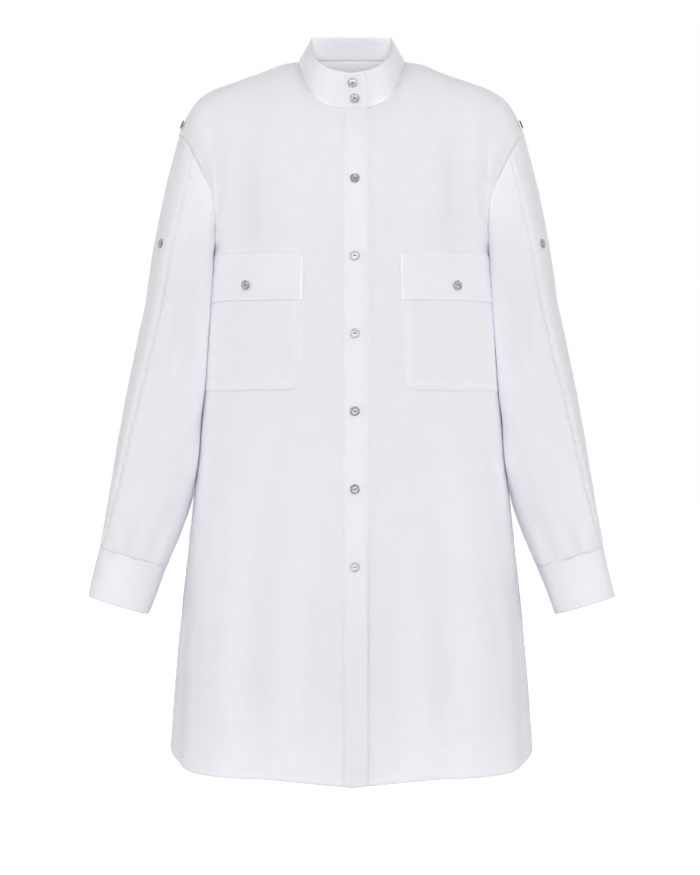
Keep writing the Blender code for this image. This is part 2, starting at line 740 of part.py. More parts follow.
def place_button(name, mesh, point, normal, parent):
    """A button whose back lies at a point and whose face looks along a normal."""
    button = bpy.data.objects.new(name, mesh)
    facing = normal.normalized()
    level = Vector((0, 0, 1)).cross(facing).normalized()
    upright = facing.cross(level)
    button.rotation_euler = Matrix((level, upright, facing)).transposed().to_euler()
    button.location = point + facing * BUTTON_SEAT
    button.parent = parent
    parent.users_collection[0].objects.link(button)


def place_buttons(mesh, parent):
    centre = (OVERLAP_EDGE + UNDERLAP_EDGE) / 2
    on_placket = CLOTH / 2 + LAYER_GAP + PLACKET_WALL
    for index in range(PLACKET_BUTTONS):
        z = FIRST_BUTTON_Z - index * BUTTON_PITCH
        point, normal = front_place(centre, z)
        place_button(f"button_placket_{index + 1}", mesh, point + normal * on_placket, normal, parent)
    for name, turn, share in COLLAR_BUTTONS:
        base = neck_point(turn, "base")
        top = neck_point(turn, "top")
        normal = Vector((0, -(top - base).z, (top - base).y))
        lift = BAND_WALL / 2 + COLLAR_BELLY + LAYER_GAP
        seat = base.lerp(top, share) + normal.normalized() * lift
        place_button(f"button_collar_{name}", mesh, seat, normal, parent)
    on_flap = 2 * (CLOTH + LAYER_GAP) + CLOTH / 2
    for name, hand in (("right", -1), ("left", 1)):
        point = body_point(hand * BUTTON_ON_FLAP, BUTTON_ON_FLAP_Z)
        ahead = body_point(hand * (BUTTON_ON_FLAP + TURN_STEP), BUTTON_ON_FLAP_Z)
        below = body_point(hand * BUTTON_ON_FLAP, BUTTON_ON_FLAP_Z - HEIGHT_STEP)
        normal = (ahead - point).cross(point - below).normalized() * hand
        place_button(f"button_flap_{name}", mesh, point + normal * on_flap, normal, parent)
        sleeve_buttons(name, hand, mesh, parent)


def front_place(x, z):
    """The place and normal of the front's surface at a distance from its middle and a height."""
    if z <= CHEST_Z:
        turn = body_turn(x, z)
        low = body_point(turn, z - HEIGHT_STEP)
        high = body_point(turn, z + HEIGHT_STEP)
        point = body_point(turn, z)
    else:
        turn = body_turn(x, CHEST_Z)
        low_rise = 0.0
        high_rise = 1.0
        for _ in range(HALVINGS):
            middle = (low_rise + high_rise) / 2
            if upper_point(turn, middle).z < z:
                low_rise = middle
            else:
                high_rise = middle
        point = upper_point(turn, middle)
        low = upper_point(turn, middle - RISE_STEP)
        high = upper_point(turn, middle + RISE_STEP)
    point.x = x
    rise = high - low
    return point, Vector((0, -rise.z, rise.y)).normalized()


def sleeve_buttons(name, hand, mesh, parent):
    """One button on the upper sleeve, one at the shoulder point and one on the cuff."""
    place_on_sleeve(f"button_sleeve_{name}", hand, mesh, parent)
    shoulder, before, after = [
        Vector([read(SHOULDER, axis, SHOULDER_BUTTON_ALONG + reach) for axis in "xyz"])
        for reach in (0, -SHOULDER_BUTTON_REACH, SHOULDER_BUTTON_REACH)
    ]
    slope = after - before
    normal = Vector((-slope.z * hand, 0, slope.x))
    shoulder.x *= hand
    seat = shoulder + normal.normalized() * CLOTH / 2
    place_button(f"button_shoulder_{name}", mesh, seat, normal, parent)
    at = cuff_point(CUFF_BUTTON_TURN, CUFF_BUTTON_ALONG, hand)
    around = cuff_point(CUFF_BUTTON_TURN + 2 * TURN_STEP, CUFF_BUTTON_ALONG, hand) - at
    down = cuff_point(CUFF_BUTTON_TURN, CUFF_BUTTON_ALONG + 2 * ALONG_STEP, hand) - at
    normal = down.cross(around).normalized() * hand
    if normal.x * hand < 0:
        normal.negate()
    place_button(f"button_cuff_{name}", mesh, at + normal * BAND_WALL / 2, normal, parent)


def place_on_sleeve(name, hand, mesh, parent):
    share = SLEEVE_BUTTON_SHARE
    station = SLEEVE_BUTTON_STATION
    at = sleeve_point(share, False, station, hand)
    around = sleeve_point(share + SHARE_STEP, False, station, hand) - at
    down = sleeve_point(share, False, station + ALONG_STEP, hand) - at
    normal = down.cross(around).normalized()
    if normal.x * hand < 0:
        normal.negate()
    # the sleeve's flat faces lie a little inside its curve
    place_button(name, mesh, at + normal * (CLOTH / 2 + LAYER_GAP - SLEEVE_BUTTON_SINK), normal, parent)


def build():
    start_clean()
    linen = made_material("white_linen", LINEN, LINEN_ROUGHNESS, LINEN_SHEEN)
    shell = made_material("grey_shell", BUTTON_GREY, SHELL_ROUGHNESS, 0.0)
    collection = bpy.data.collections.new("linen_shirt")
    bpy.context.scene.collection.children.link(collection)
    shirt = bpy.data.objects.new("shirt", None)
    collection.objects.link(shirt)
    panels = front_panels(linen, shirt)
    back_turns = back_panel(linen, shirt)
    placket_band(panels, linen, shirt)
    pockets(panels, linen, shirt)
    front_turns = [turn for turn in FRONT_COLUMNS if turn <= FRONT_NECK]
    around = front_turns + [turn for turn in back_turns if abs(180 - turn) < 180 - BACK_NECK]
    around += [360 - turn for turn in reversed(front_turns)]
    collar_band(around, linen, shirt)
    sleeves(linen, shirt)
    cuffs(linen, shirt)
    place_buttons(button_mesh(shell), shirt)


build()
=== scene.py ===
import math

import bpy
import numpy as np
from mathutils import Matrix, Vector, noise


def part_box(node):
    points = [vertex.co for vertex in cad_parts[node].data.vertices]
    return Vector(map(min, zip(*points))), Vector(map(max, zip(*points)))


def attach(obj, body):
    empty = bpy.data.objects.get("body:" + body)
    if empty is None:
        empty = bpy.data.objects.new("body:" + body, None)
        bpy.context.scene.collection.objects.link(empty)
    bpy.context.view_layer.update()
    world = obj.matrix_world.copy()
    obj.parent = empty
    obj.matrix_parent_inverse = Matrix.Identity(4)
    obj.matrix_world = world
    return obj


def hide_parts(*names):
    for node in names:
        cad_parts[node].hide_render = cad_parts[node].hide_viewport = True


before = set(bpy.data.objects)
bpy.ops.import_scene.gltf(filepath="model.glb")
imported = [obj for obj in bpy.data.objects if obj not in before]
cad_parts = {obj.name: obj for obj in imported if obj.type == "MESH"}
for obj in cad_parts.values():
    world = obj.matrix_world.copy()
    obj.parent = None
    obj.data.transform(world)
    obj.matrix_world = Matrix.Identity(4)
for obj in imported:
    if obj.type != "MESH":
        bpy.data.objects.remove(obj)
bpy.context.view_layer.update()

root = "root"
hands = (("right", -1), ("left", 1))    # the wearer's right is at -X


# The shirt's form, in metres

body = {
    "square": 2.4,
    "sideY": 0.008,
    "hemZ": -0.8575,
    "chestZ": -0.226,
    "hemBendTop": -0.62,
    "hemBend": 1.6,
    # z, half width, front, back
    "sections": [
        (-0.870, 0.2185, 0.158, 0.152),
        (-0.815, 0.2160, 0.156, 0.150),
        (-0.743, 0.2110, 0.152, 0.147),
        (-0.647, 0.2020, 0.147, 0.142),
        (-0.527, 0.1890, 0.141, 0.136),
        (-0.394, 0.1770, 0.135, 0.130),
        (-0.287, 0.1700, 0.132, 0.126),
        (-0.226, 0.1660, 0.129, 0.122),
    ],
    # turn, lift of the hem
    "hem": [
        (0, 0.000), (10, 0.0045), (16, 0.0068), (25, 0.0083), (38, 0.0092), (47, 0.0100),
        (58, 0.0125), (71, 0.021), (84, 0.032), (90, 0.035), (97, 0.032), (110, 0.020),
        (130, 0.009), (180, 0.000),
    ],
    # along, x, y, z of the shoulder seam
    "shoulder": [
        (0.00, 0.0636, 0.010, 0.0000),
        (0.11, 0.0815, 0.010, -0.0035),
        (0.24, 0.1010, 0.010, -0.0112),
        (0.48, 0.1410, 0.009, -0.0250),
        (0.62, 0.1640, 0.009, -0.0330),
        (0.77, 0.1840, 0.008, -0.0462),
        (0.89, 0.1967, 0.008, -0.0640),
        (1.00, 0.2068, 0.008, -0.0880),
    ],
    # turn, x, y, z of the armhole
    "armhole": [
        (0, 0.2068, 0.008, -0.088),
        (36, 0.1965, -0.026, -0.099),
        (72, 0.1790, -0.049, -0.132),
        (108, 0.1640, -0.056, -0.168),
        (144, 0.1610, -0.040, -0.206),
        (180, 0.1660, 0.008, -0.226),
        (216, 0.1625, 0.054, -0.206),
        (252, 0.1700, 0.070, -0.166),
        (288, 0.1855, 0.063, -0.126),
        (324, 0.2000, 0.038, -0.099),
        (360, 0.2068, 0.008, -0.088),
    ],
    # turn, base x y z, top x y z
    "neck": [
        (0, 0.0000, -0.072, -0.0645, 0.0000, -0.064, -0.0200),
        (30, 0.0310, -0.066, -0.0575, 0.0245, -0.058, -0.0145),
        (55, 0.0500, -0.046, -0.0400, 0.0390, -0.041, -0.0040),
        (80, 0.0600, -0.016, -0.0140, 0.0470, -0.014, 0.0080),
        (98, 0.0636, 0.010, 0.0000, 0.0484, 0.009, 0.0170),
        (120, 0.0620, 0.032, 0.0045, 0.0488, 0.030, 0.0265),
        (142, 0.0505, 0.045, 0.0062, 0.0482, 0.0465, 0.0334),
        (160, 0.0270, 0.049, 0.0068, 0.0260, 0.0500, 0.0338),
        (180, 0.0000, 0.050, 0.0070, 0.0000, 0.0505, 0.0340),
    ],
    "frontNeck": 32.4,
    "backNeck": 155,
    "neckTurn": 98,
    "frontNeckSpread": 0.84,
    "backNeckSpread": 0.9,
    "chestCurve": 1.5,
    "shoulderCurve": 2.0,
    "backCurve": 1.8,
    "backCurveStarts": 100,
    "armBlend": 35,
    # large folds, shared with the solid: turn, top, bottom, width, depth, lean
    "folds": [
        (-45, -0.09, -0.285, 7.5, -0.0030, 3),
        (43, -0.07, -0.290, 8.0, -0.0033, -4),
        (-60, -0.38, -0.640, 7.0, -0.0028, -10),
        (62, -0.40, -0.680, 7.5, -0.0026, 8),
        (-38, -0.44, -1.050, 8.0, 0.0042, 4),
        (-27, -0.52, -1.120, 6.0, -0.0048, 3),
        (-13, -0.46, -1.080, 5.5, 0.0030, 2),
        (36, -0.42, -1.060, 8.5, 0.0040, -4),
        (25, -0.50, -1.120, 6.5, -0.0044, -3),
        (14, -0.56, -1.080, 5.0, 0.0028, -2),
        (-72, -0.50, -1.100, 7.0, -0.0034, 4),
        (70, -0.52, -1.100, 7.5, -0.0030, -5),
        (180, -0.16, -1.080, 9.0, -0.0030, 0),
        (163, -0.34, -1.120, 7.5, 0.0046, -4),
        (-161, -0.30, -1.120, 8.0, 0.0042, 5),
        (147, -0.14, -0.360, 8.0, -0.0026, 6),
        (-144, -0.12, -0.330, 7.0, -0.0024, -5),
        (146, -0.46, -1.100, 7.0, -0.0050, -3),
        (-143, -0.50, -1.110, 7.5, -0.0046, 4),
        (128, -0.52, -1.090, 8.0, 0.0044, -2),
        (-126, -0.48, -1.100, 7.0, 0.0046, 2),
        (110, -0.42, -1.080, 7.0, -0.0034, 4),
        (-109, -0.45, -1.080, 7.5, -0.0038, -3),
    ],
}

opening = {
    "overlapEdge": 0.0178,
    "underlapEdge": -0.0105,
    "tuck": 0.0017,
    "tuckEnds": 0.034,
    "lineInset": 0.0013,
    "lineWidth": 0.0016,
    # painted light along the placket's edge and painted shade where the fronts part
    "edgeTone": 0.09,
    "gapTone": 0.34,
}

cloth = {
    "wall": 0.0008,
    "solidWall": 0.0012,
    "layerGap": 0.0003,
    "rimRound": 0.8,           # how far the rim swells, as a share of half the wall
    "crumple": 0.00045,        # depth of the linen's unevenness
    "crumpleSize": 0.030,
}


def readCurve(rows, column, at):
    # a column of a table on a smooth curve through its rows, for many places at once
    stops = np.array([row[0] for row in rows], float)
    values = np.array([row[column] for row in rows], float)
    steps = np.diff(values) / np.diff(stops)
    slopes = np.empty(len(values))
    slopes[0] = steps[0]
    slopes[-1] = steps[-1]
    before, after = steps[:-1], steps[1:]
    both = np.where(before + after == 0, 1, before + after)
    slopes[1:-1] = np.where(before * after <= 0, 0, 2 * before * after / both)
    at = np.clip(at, stops[0], stops[-1])
    i = np.clip(np.searchsorted(stops, at, side="right") - 1, 0, len(stops) - 2)
    span = stops[i + 1] - stops[i]
    t = (at - stops[i]) / span
    return (
        (2 * t**3 - 3 * t**2 + 1) * values[i] + (t**3 - 2 * t**2 + t) * span * slopes[i]
        + (3 * t**2 - 2 * t**3) * values[i + 1] + (t**3 - t**2) * span * slopes[i + 1]
    )


def eased(value):
    value = np.clip(value, 0.0, 1.0)
    return value * value * (3 - 2 * value)


def powered(value, square):
    return np.sign(value) * np.abs(value) ** (2 / square)


def wrapped(turn):
    return (turn + 180) % 360 - 180


def near(distance, width):
    # 1 at no distance, fading away over width
    return np.exp(-(distance / width) ** 2)


def ripple(distance, pitch, drift=0):
    # waves a pitch apart, which drift along to look hand-made
    return np.sin(distance * 2 * math.pi / pitch + drift)


def foldHeight(folds, turn, at, ends):
    total = np.zeros(np.broadcast(turn, at).shape)
    for place, top, bottom, width, depth, lean in folds:
        along = np.clip((top - at) / (top - bottom), 0, 1)
        across = wrapped(turn - place - lean * (along - 0.5)) / width
        total = total + depth * np.exp(-across * across) * np.sin(math.pi * along) ** ends
    return total


def bodyPoint(turn, z):
    turn, z = np.broadcast_arrays(np.asarray(turn, float), np.asarray(z, float))
    sine = np.sin(np.radians(turn))
    cosine = np.cos(np.radians(turn))
    depth = np.where(cosine > 0, readCurve(body["sections"], 2, z), readCurve(body["sections"], 3, z))
    push = foldHeight(body["folds"], turn, z, 1.0)
    x = readCurve(body["sections"], 1, z) * powered(sine, body["square"]) + push * sine
    y = body["sideY"] - depth * powered(cosine, body["square"]) - push * cosine
    return np.stack([x, y, z], axis=-1)


def bodyTurn(x, z):
    share = np.minimum(np.abs(x) / readCurve(body["sections"], 1, z), 1.0)
    return np.sign(x) * np.degrees(np.arcsin(share ** (body["square"] / 2)))


def hemLift(turn, z):
    share = np.maximum(0.0, (body["hemBendTop"] - z) / (body["hemBendTop"] - body["hemZ"]))
    return readCurve(body["hem"], 1, np.abs(wrapped(turn))) * share ** body["hemBend"]


def neckPoint(turn, end):
    first = 1 if end == "base" else 4
    x, y, z = (readCurve(body["neck"], first + i, np.abs(wrapped(turn))) for i in range(3))
    return np.stack([np.where(wrapped(turn) < 0, -1, 1) * x, y, z], axis=-1)


def neckTurn(turn):
    side = np.abs(wrapped(turn))
    reach = np.minimum(side, body["frontNeck"]) / body["frontNeck"]
    front = body["neckTurn"] * reach ** body["frontNeckSpread"]
    back = np.clip((180 - side) / (180 - body["backNeck"]), 0, 1) ** body["backNeckSpread"]
    around = np.where(side < 90, front, 180 - (180 - body["neckTurn"]) * back)
    return np.where(wrapped(turn) < 0, -around, around)


def topPoint(turn):
    side = np.abs(wrapped(turn))
    onNeck = (side <= body["frontNeck"]) | (side >= body["backNeck"])
    fromFront = (side - body["frontNeck"]) / (90 - body["frontNeck"])
    fromBack = (body["backNeck"] - side) / (body["backNeck"] - 90)
    along = np.where(side <= 90, fromFront, fromBack)
    shoulder = np.stack([readCurve(body["shoulder"], i, along) for i in (1, 2, 3)], axis=-1)
    shoulder[..., 0] *= np.where(wrapped(turn) < 0, -1, 1)
    return np.where(onNeck[..., None], neckPoint(neckTurn(turn), "base"), shoulder)


def armholePoint(turn, side):
    turn = np.asarray(turn, float) % 360
    x, y, z = (readCurve(body["armhole"], i, turn) for i in (1, 2, 3))
    return np.stack([side * x, y, z], axis=-1)


def risePath(turn, rise, curve):
    low = bodyPoint(turn, body["chestZ"])
    high = topPoint(turn)
    out = np.maximum(np.cos(math.pi / 2 * rise), 0) ** (2 / curve)
    up = np.sin(math.pi / 2 * rise) ** (2 / curve)
    point = high + (low - high) * out[..., None]
    point[..., 2] = low[..., 2] + (high[..., 2] - low[..., 2]) * up
    return point


def upperPoint(turn, rise, front):
    turn, rise = np.broadcast_arrays(np.asarray(turn, float), np.asarray(rise, float))
    side = np.abs(wrapped(turn))
    if front:
        curved = eased(side / body["frontNeck"])
        curve = body["chestCurve"] + (body["shoulderCurve"] - body["chestCurve"]) * curved
        armTurn = 180 * (1 - rise)
    else:
        towardsNeck = eased((side - body["backCurveStarts"]) / (body["backNeck"] - body["backCurveStarts"]))
        curve = body["shoulderCurve"] + (body["backCurve"] - body["shoulderCurve"]) * towardsNeck
        armTurn = 180 * (1 + rise)
    point = risePath(turn, rise, curve)
    share = eased(1 - np.abs(side - 90) / body["armBlend"])
    hand = np.where(wrapped(turn) < 0, -1.0, 1.0)
    straight = risePath(hand * 90, rise, np.full(rise.shape, body["shoulderCurve"]))
    arm = armholePoint(armTurn, 1.0)
    arm[..., 0] *= hand
    point = point + share[..., None] * (arm - straight)
    angle = np.radians(turn)
    push = foldHeight(body["folds"], turn, point[..., 2], 1.0) * np.cos(math.pi / 2 * rise) * (1 - share)
    push = np.where(rise > 0, push, 0)
    point[..., 0] += push * np.sin(angle)
    point[..., 1] -= push * np.cos(angle)
    return point


# Cloth as thin shells

def faceNormals(grid):
    normals = np.cross(np.gradient(grid, axis=1), np.gradient(grid, axis=0))
    return normals / np.maximum(np.linalg.norm(normals, axis=-1, keepdims=True), 1e-12)


def gridNormals(grid, centre):
    normals = faceNormals(grid)
    outward = grid - np.asarray(centre)
    outward[..., 2] = 0
    return -normals if (normals * outward).sum() < 0 else normals


def bodyNormals(grid):
    return gridNormals(grid, (0, body["sideY"], 0))


def gridLengths(grid):
    # metres across each row and up each column, which the weave follows
    across = np.zeros(grid.shape[:2])
    across[:, 1:] = np.cumsum(np.linalg.norm(np.diff(grid, axis=1), axis=-1), axis=1)
    along = np.zeros(grid.shape[:2])
    along[1:] = np.cumsum(np.linalg.norm(np.diff(grid, axis=0), axis=-1), axis=0)
    return across, along


def crumpled(grid, normals, amount, size, seed):
    # the uneven surface of washed linen, about an amount deep
    height = np.empty(grid.shape[:2])
    offset = Vector((seed * 3.7, seed * 1.9, seed * 5.3))
    for r in range(grid.shape[0]):
        for c in range(grid.shape[1]):
            place = Vector(grid[r, c]) / size + offset
            height[r, c] = noise.noise(place) + 0.5 * noise.noise(place * 2.3)
    return grid + normals * (height * amount)[..., None]


def clothShell(name, grid, wall, material, tone=0.0, innerTone=None):
    # a closed thin sheet with rounded rims; wall and both tones, its painted light and shade outside and
    # inside, may be grids of their own
    rows, columns = grid.shape[:2]
    count = rows * columns
    half = (np.zeros((rows, columns)) + wall)[..., None] / 2
    normals = faceNormals(grid)
    outerPoints = grid + normals * half
    innerPoints = grid - normals * half
    border = (
        [(0, c) for c in range(columns)] + [(r, columns - 1) for r in range(1, rows)]
        + [(rows - 1, c) for c in range(columns - 2, -1, -1)] + [(r, 0) for r in range(rows - 2, 0, -1)]
    )
    ringR, ringC = np.array(border).T
    away = grid[ringR, ringC] - grid[np.clip(ringR, 1, rows - 2), np.clip(ringC, 1, columns - 2)]
    away /= np.maximum(np.linalg.norm(away, axis=-1, keepdims=True), 1e-12)
    middle = grid[ringR, ringC] + away * half[ringR, ringC] * cloth["rimRound"]
    points = np.concatenate([outerPoints.reshape(-1, 3), innerPoints.reshape(-1, 3), middle])

    index = np.arange(count).reshape(rows, columns)
    quads = np.stack([index[:-1, :-1], index[:-1, 1:], index[1:, 1:], index[1:, :-1]], axis=-1).reshape(-1, 4)
    ring = index[ringR, ringC]
    following = np.roll(ring, -1)
    rim = 2 * count + np.arange(len(ring))
    rimNext = np.roll(rim, -1)
    faces = np.concatenate([
        quads,
        quads[:, ::-1] + count,
        np.stack([following, ring, rim, rimNext], axis=-1),
        np.stack([rimNext, rim, ring + count, following + count], axis=-1),
    ])
    mesh = bpy.data.meshes.new(name)
    mesh.vertices.add(len(points))
    mesh.vertices.foreach_set("co", points.ravel())
    mesh.loops.add(faces.size)
    mesh.loops.foreach_set("vertex_index", faces.ravel())
    mesh.polygons.add(len(faces))
    mesh.polygons.foreach_set("loop_start", np.arange(0, faces.size, 4))
    mesh.update(calc_edges=True)
    mesh.validate()
    mesh.polygons.foreach_set("use_smooth", np.ones(len(mesh.polygons), bool))

    def spreadOut(outer, inner):
        # a grid's values on the outer points, the inner points and the rim
        return np.concatenate([outer.ravel(), inner.ravel(), outer[ringR, ringC]])

    u, v = gridLengths(grid)
    places = np.stack([spreadOut(u, u), spreadOut(v, v)], axis=-1)
    loopVertex = np.empty(len(mesh.loops), np.int32)
    mesh.loops.foreach_get("vertex_index", loopVertex)
    mesh.uv_layers.new(name="cloth").data.foreach_set("uv", places[loopVertex].ravel())
    # the tone attribute carries painted light and shade
    tones = np.zeros((rows, columns)) + tone
    inner = tones if innerTone is None else np.zeros((rows, columns)) + innerTone
    mesh.attributes.new("tone", "FLOAT", "POINT").data.foreach_set("value", spreadOut(tones, inner))
    mesh.materials.append(material)
    if signedVolume(points, faces) < 0:
        mesh.flip_normals()
    return linked(name, mesh)


def signedVolume(points, faces):
    a, b, c, d = [points[faces[:, i]] for i in range(4)]
    return ((a * np.cross(b, c)).sum() + (a * np.cross(c, d)).sum()) / 6


def linked(name, data):
    thing = bpy.data.objects.new(name, data)
    bpy.context.scene.collection.objects.link(thing)
    return thing


def finished(piece, node):
    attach(piece, root)
    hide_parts(node)


# Materials

linen = {
    "colour": (0.842, 0.834, 0.900),
    "bandColour": (0.772, 0.766, 0.808),    # thicker cloth keeps more light, so this greyer copy of the linen paints shade on collar and cuffs
    "doubled": 0.035,          # painted light: how much whiter double cloth shows
    # painted shade in fold troughs and painted highlight on fold ridges
    "foldTone": 0.055,
    "slubContrast": 0.035,
    "slubsPerMetre": (825, 22),    # across and along a thread
    "threadsPerMetre": 1500,
    "threadWander": 1.2,
    "weaveDepth": 0.00008,
    "weaveStrength": 0.55,
    "roughness": 0.92,
    "specular": 0.25,
    "sheen": 0.10,
    "sheenRoughness": 0.5,
    "through": 0.7,            # share of the light that passes into the cloth
    "throughReach": 0.0030,
}

thread = {
    "roughness": 0.7,
    "twists": 2500,
    "blue": 1.02,
    "white": (0.70, 0.84),
    "grey": (0.06, 0.20),
}

shell = {
    "roughness": 0.16,
    "coat": 0.6,
    "coatRoughness": 0.08,
    "ior": 1.53,
    "cloudScale": 210,
    "cloudSwirl": 1.6,
    # place, colour
    "cloud": [(0.30, (0.07, 0.07, 0.07, 1)), (0.72, (0.64, 0.64, 0.61, 1))],
    # share of the radius, grey: a dark ring of painted shade round the edge of the turned dish and a painted
    # highlight on the rim
    "rings": [(0.0, 0.55), (0.40, 0.95), (0.58, 0.60), (0.80, 1.0), (1.0, 0.50)],
}


def addNode(tree, kind, place, **values):
    node = tree.nodes.new(kind)
    node.location = place
    for key, value in values.items():
        setattr(node, key, value)
    return node


def connect(tree, rows):
    # each row of the table: a node, its output, the node that it feeds, the input there
    for giver, output, taker, entry in rows:
        tree.links.new(giver.outputs[output], taker.inputs[entry])


def setInputs(node, values):
    for label, value in values.items():
        node.inputs[label].default_value = value


def newMaterial(name, roughness):
    material = bpy.data.materials.new(name)
    material.use_nodes = True
    tree = material.node_tree
    shader = tree.nodes["Principled BSDF"]
    shader.inputs["Roughness"].default_value = roughness
    return material, tree, shader


def linenMaterial(name, colour):
    material, tree, shader = newMaterial(name, linen["roughness"])
    setInputs(shader, {
        "Sheen Weight": linen["sheen"],
        "Sheen Roughness": linen["sheenRoughness"],
        "Specular IOR Level": linen["specular"],
        "Subsurface Weight": linen["through"],
        "Subsurface Radius": (1.0, 1.0, 1.0),
        "Subsurface Scale": linen["throughReach"],
    })
    uv = addNode(tree, "ShaderNodeUVMap", (-1600, 0), uv_map="cloth")
    # slubs: long thin streaks along both thread directions
    thin, long = linen["slubsPerMetre"]
    slub = addNode(tree, "ShaderNodeMath", (-1000, -150), operation="ADD")
    for index, scale in enumerate(((thin, long, 1), (long, thin, 1))):
        stretch = addNode(tree, "ShaderNodeMapping", (-1400, -300 * index))
        streak = addNode(tree, "ShaderNodeTexNoise", (-1200, -300 * index))
        setInputs(stretch, {"Scale": scale})
        setInputs(streak, {"Scale": 1.0, "Detail": 3.0})
        connect(tree, [
            (uv, "UV", stretch, "Vector"), (stretch, "Vector", streak, "Vector"),
            (streak, "Fac", slub, index),
        ])
    # over and under threads
    weave = addNode(tree, "ShaderNodeMath", (-1000, -800), operation="MULTIPLY")
    for index, direction in enumerate(("X", "Y")):
        wave = addNode(tree, "ShaderNodeTexWave", (-1200, -650 - 300 * index), bands_direction=direction)
        setInputs(wave, {
            "Scale": linen["threadsPerMetre"] / 20 * math.pi,
            "Distortion": linen["threadWander"],
            "Detail": 1.0,
        })
        connect(tree, [(uv, "UV", wave, "Vector"), (wave, "Fac", weave, index)])
    height = addNode(tree, "ShaderNodeMath", (-800, -500), operation="MULTIPLY_ADD")
    height.inputs[1].default_value = 0.9
    connect(tree, [(slub, "Value", height, 0), (weave, "Value", height, 2)])
    bump = addNode(tree, "ShaderNodeBump", (-500, -500))
    setInputs(bump, {"Strength": linen["weaveStrength"], "Distance": linen["weaveDepth"]})
    connect(tree, [(height, "Value", bump, "Height"), (bump, "Normal", shader, "Normal")])
    # painted light and shade from the tone attribute: whiter where the cloth lies double or swells, greyer in
    # seams and hollows
    tone = addNode(tree, "ShaderNodeAttribute", (-1000, 350), attribute_name="tone")
    share = addNode(tree, "ShaderNodeMath", (-750, 350), operation="ADD")
    share.inputs[1].default_value = 1.0
    connect(tree, [(tone, "Fac", share, 0)])
    toned = addNode(tree, "ShaderNodeMix", (-600, 300), data_type="RGBA", blend_type="MULTIPLY")
    setInputs(toned, {"Factor": 1.0, "A": (*colour, 1)})
    connect(tree, [(share, "Value", toned, "B")])
    spread = addNode(tree, "ShaderNodeMapRange", (-750, 50))
    setInputs(spread, {
        "From Min": 0.6,
        "From Max": 1.4,
        "To Min": 1.0 - linen["slubContrast"],
        "To Max": 1.0 + linen["slubContrast"] * 0.5,
    })
    connect(tree, [(slub, "Value", spread, "Value")])
    shade = addNode(tree, "ShaderNodeMix", (-450, 200), data_type="RGBA", blend_type="MULTIPLY")
    setInputs(shade, {"Factor": 1.0})
    connect(tree, [
        (toned, "Result", shade, "A"), (spread, "Result", shade, "B"),
        (shade, "Result", shader, "Base Color"),
    ])
    return material


def threadMaterial(name, greys):
    material, tree, shader = newMaterial(name, thread["roughness"])
    place = addNode(tree, "ShaderNodeTexCoord", (-900, 0))
    twist = addNode(tree, "ShaderNodeTexNoise", (-700, 0))
    setInputs(twist, {"Scale": thread["twists"]})
    tone = addNode(tree, "ShaderNodeMix", (-400, 0), data_type="RGBA")
    dark, light = [(grey, grey, grey * thread["blue"], 1) for grey in greys]
    setInputs(tone, {"A": dark, "B": light})
    connect(tree, [
        (place, "Object", twist, "Vector"), (twist, "Fac", tone, "Factor"),
        (tone, "Result", shader, "Base Color"),
    ])
    return material


def colourRamp(tree, place, stops):
    node = addNode(tree, "ShaderNodeValToRGB", place)
    stopsMade = node.color_ramp.elements
    for stop, (position, colour) in zip(stopsMade, (stops[0], stops[-1])):
        stop.position = position
        stop.color = colour
    for position, colour in stops[1:-1]:
        stopsMade.new(position).color = colour
    return node


def shellMaterial():
    # polished grey shell: cloudy swirls from dark to light
    material, tree, shader = newMaterial("greyShell", shell["roughness"])
    setInputs(shader, {
        "Coat Weight": shell["coat"],
        "Coat Roughness": shell["coatRoughness"],
        "IOR": shell["ior"],
    })
    place = addNode(tree, "ShaderNodeTexCoord", (-1100, 0))
    cloud = addNode(tree, "ShaderNodeTexNoise", (-900, 0))
    setInputs(cloud, {"Scale": shell["cloudScale"], "Detail": 4.0, "Distortion": shell["cloudSwirl"]})
    shade = addNode(tree, "ShaderNodeAttribute", (-900, 250), attribute_name="shade")
    cloudy = addNode(tree, "ShaderNodeMath", (-750, 100), operation="ADD")
    ramp = colourRamp(tree, (-600, 0), shell["cloud"])
    # the rings' painted shade and highlight, by the share of the radius
    reach = addNode(tree, "ShaderNodeAttribute", (-900, -300), attribute_name="reach")
    rings = colourRamp(tree, (-600, -300), [(at, (grey, grey, grey, 1)) for at, grey in shell["rings"]])
    ringed = addNode(tree, "ShaderNodeMix", (-300, -100), data_type="RGBA", blend_type="MULTIPLY")
    setInputs(ringed, {"Factor": 1.0})
    connect(tree, [
        (place, "Object", cloud, "Vector"), (cloud, "Fac", cloudy, 0), (shade, "Fac", cloudy, 1),
        (cloudy, "Value", ramp, "Fac"), (reach, "Fac", rings, "Fac"), (ramp, "Color", ringed, "A"),
        (rings, "Color", ringed, "B"), (ringed, "Result", shader, "Base Color"),
    ])
    return material


whiteLinen = linenMaterial("whiteLinen", linen["colour"])
# the greyer copy of the linen paints shade on the collar and cuffs
bandLinen = linenMaterial("bandLinen", linen["bandColour"])
whiteThread = threadMaterial("whiteThread", thread["white"])
greyThread = threadMaterial("greyThread", thread["grey"])
greyShell = shellMaterial()
print("materials made")


# Stitches along paths

stitching = {
    "pitch": 0.0030,
    "length": 0.0021,
    "thickness": 0.00038,
    "lift": 0.00012,
}


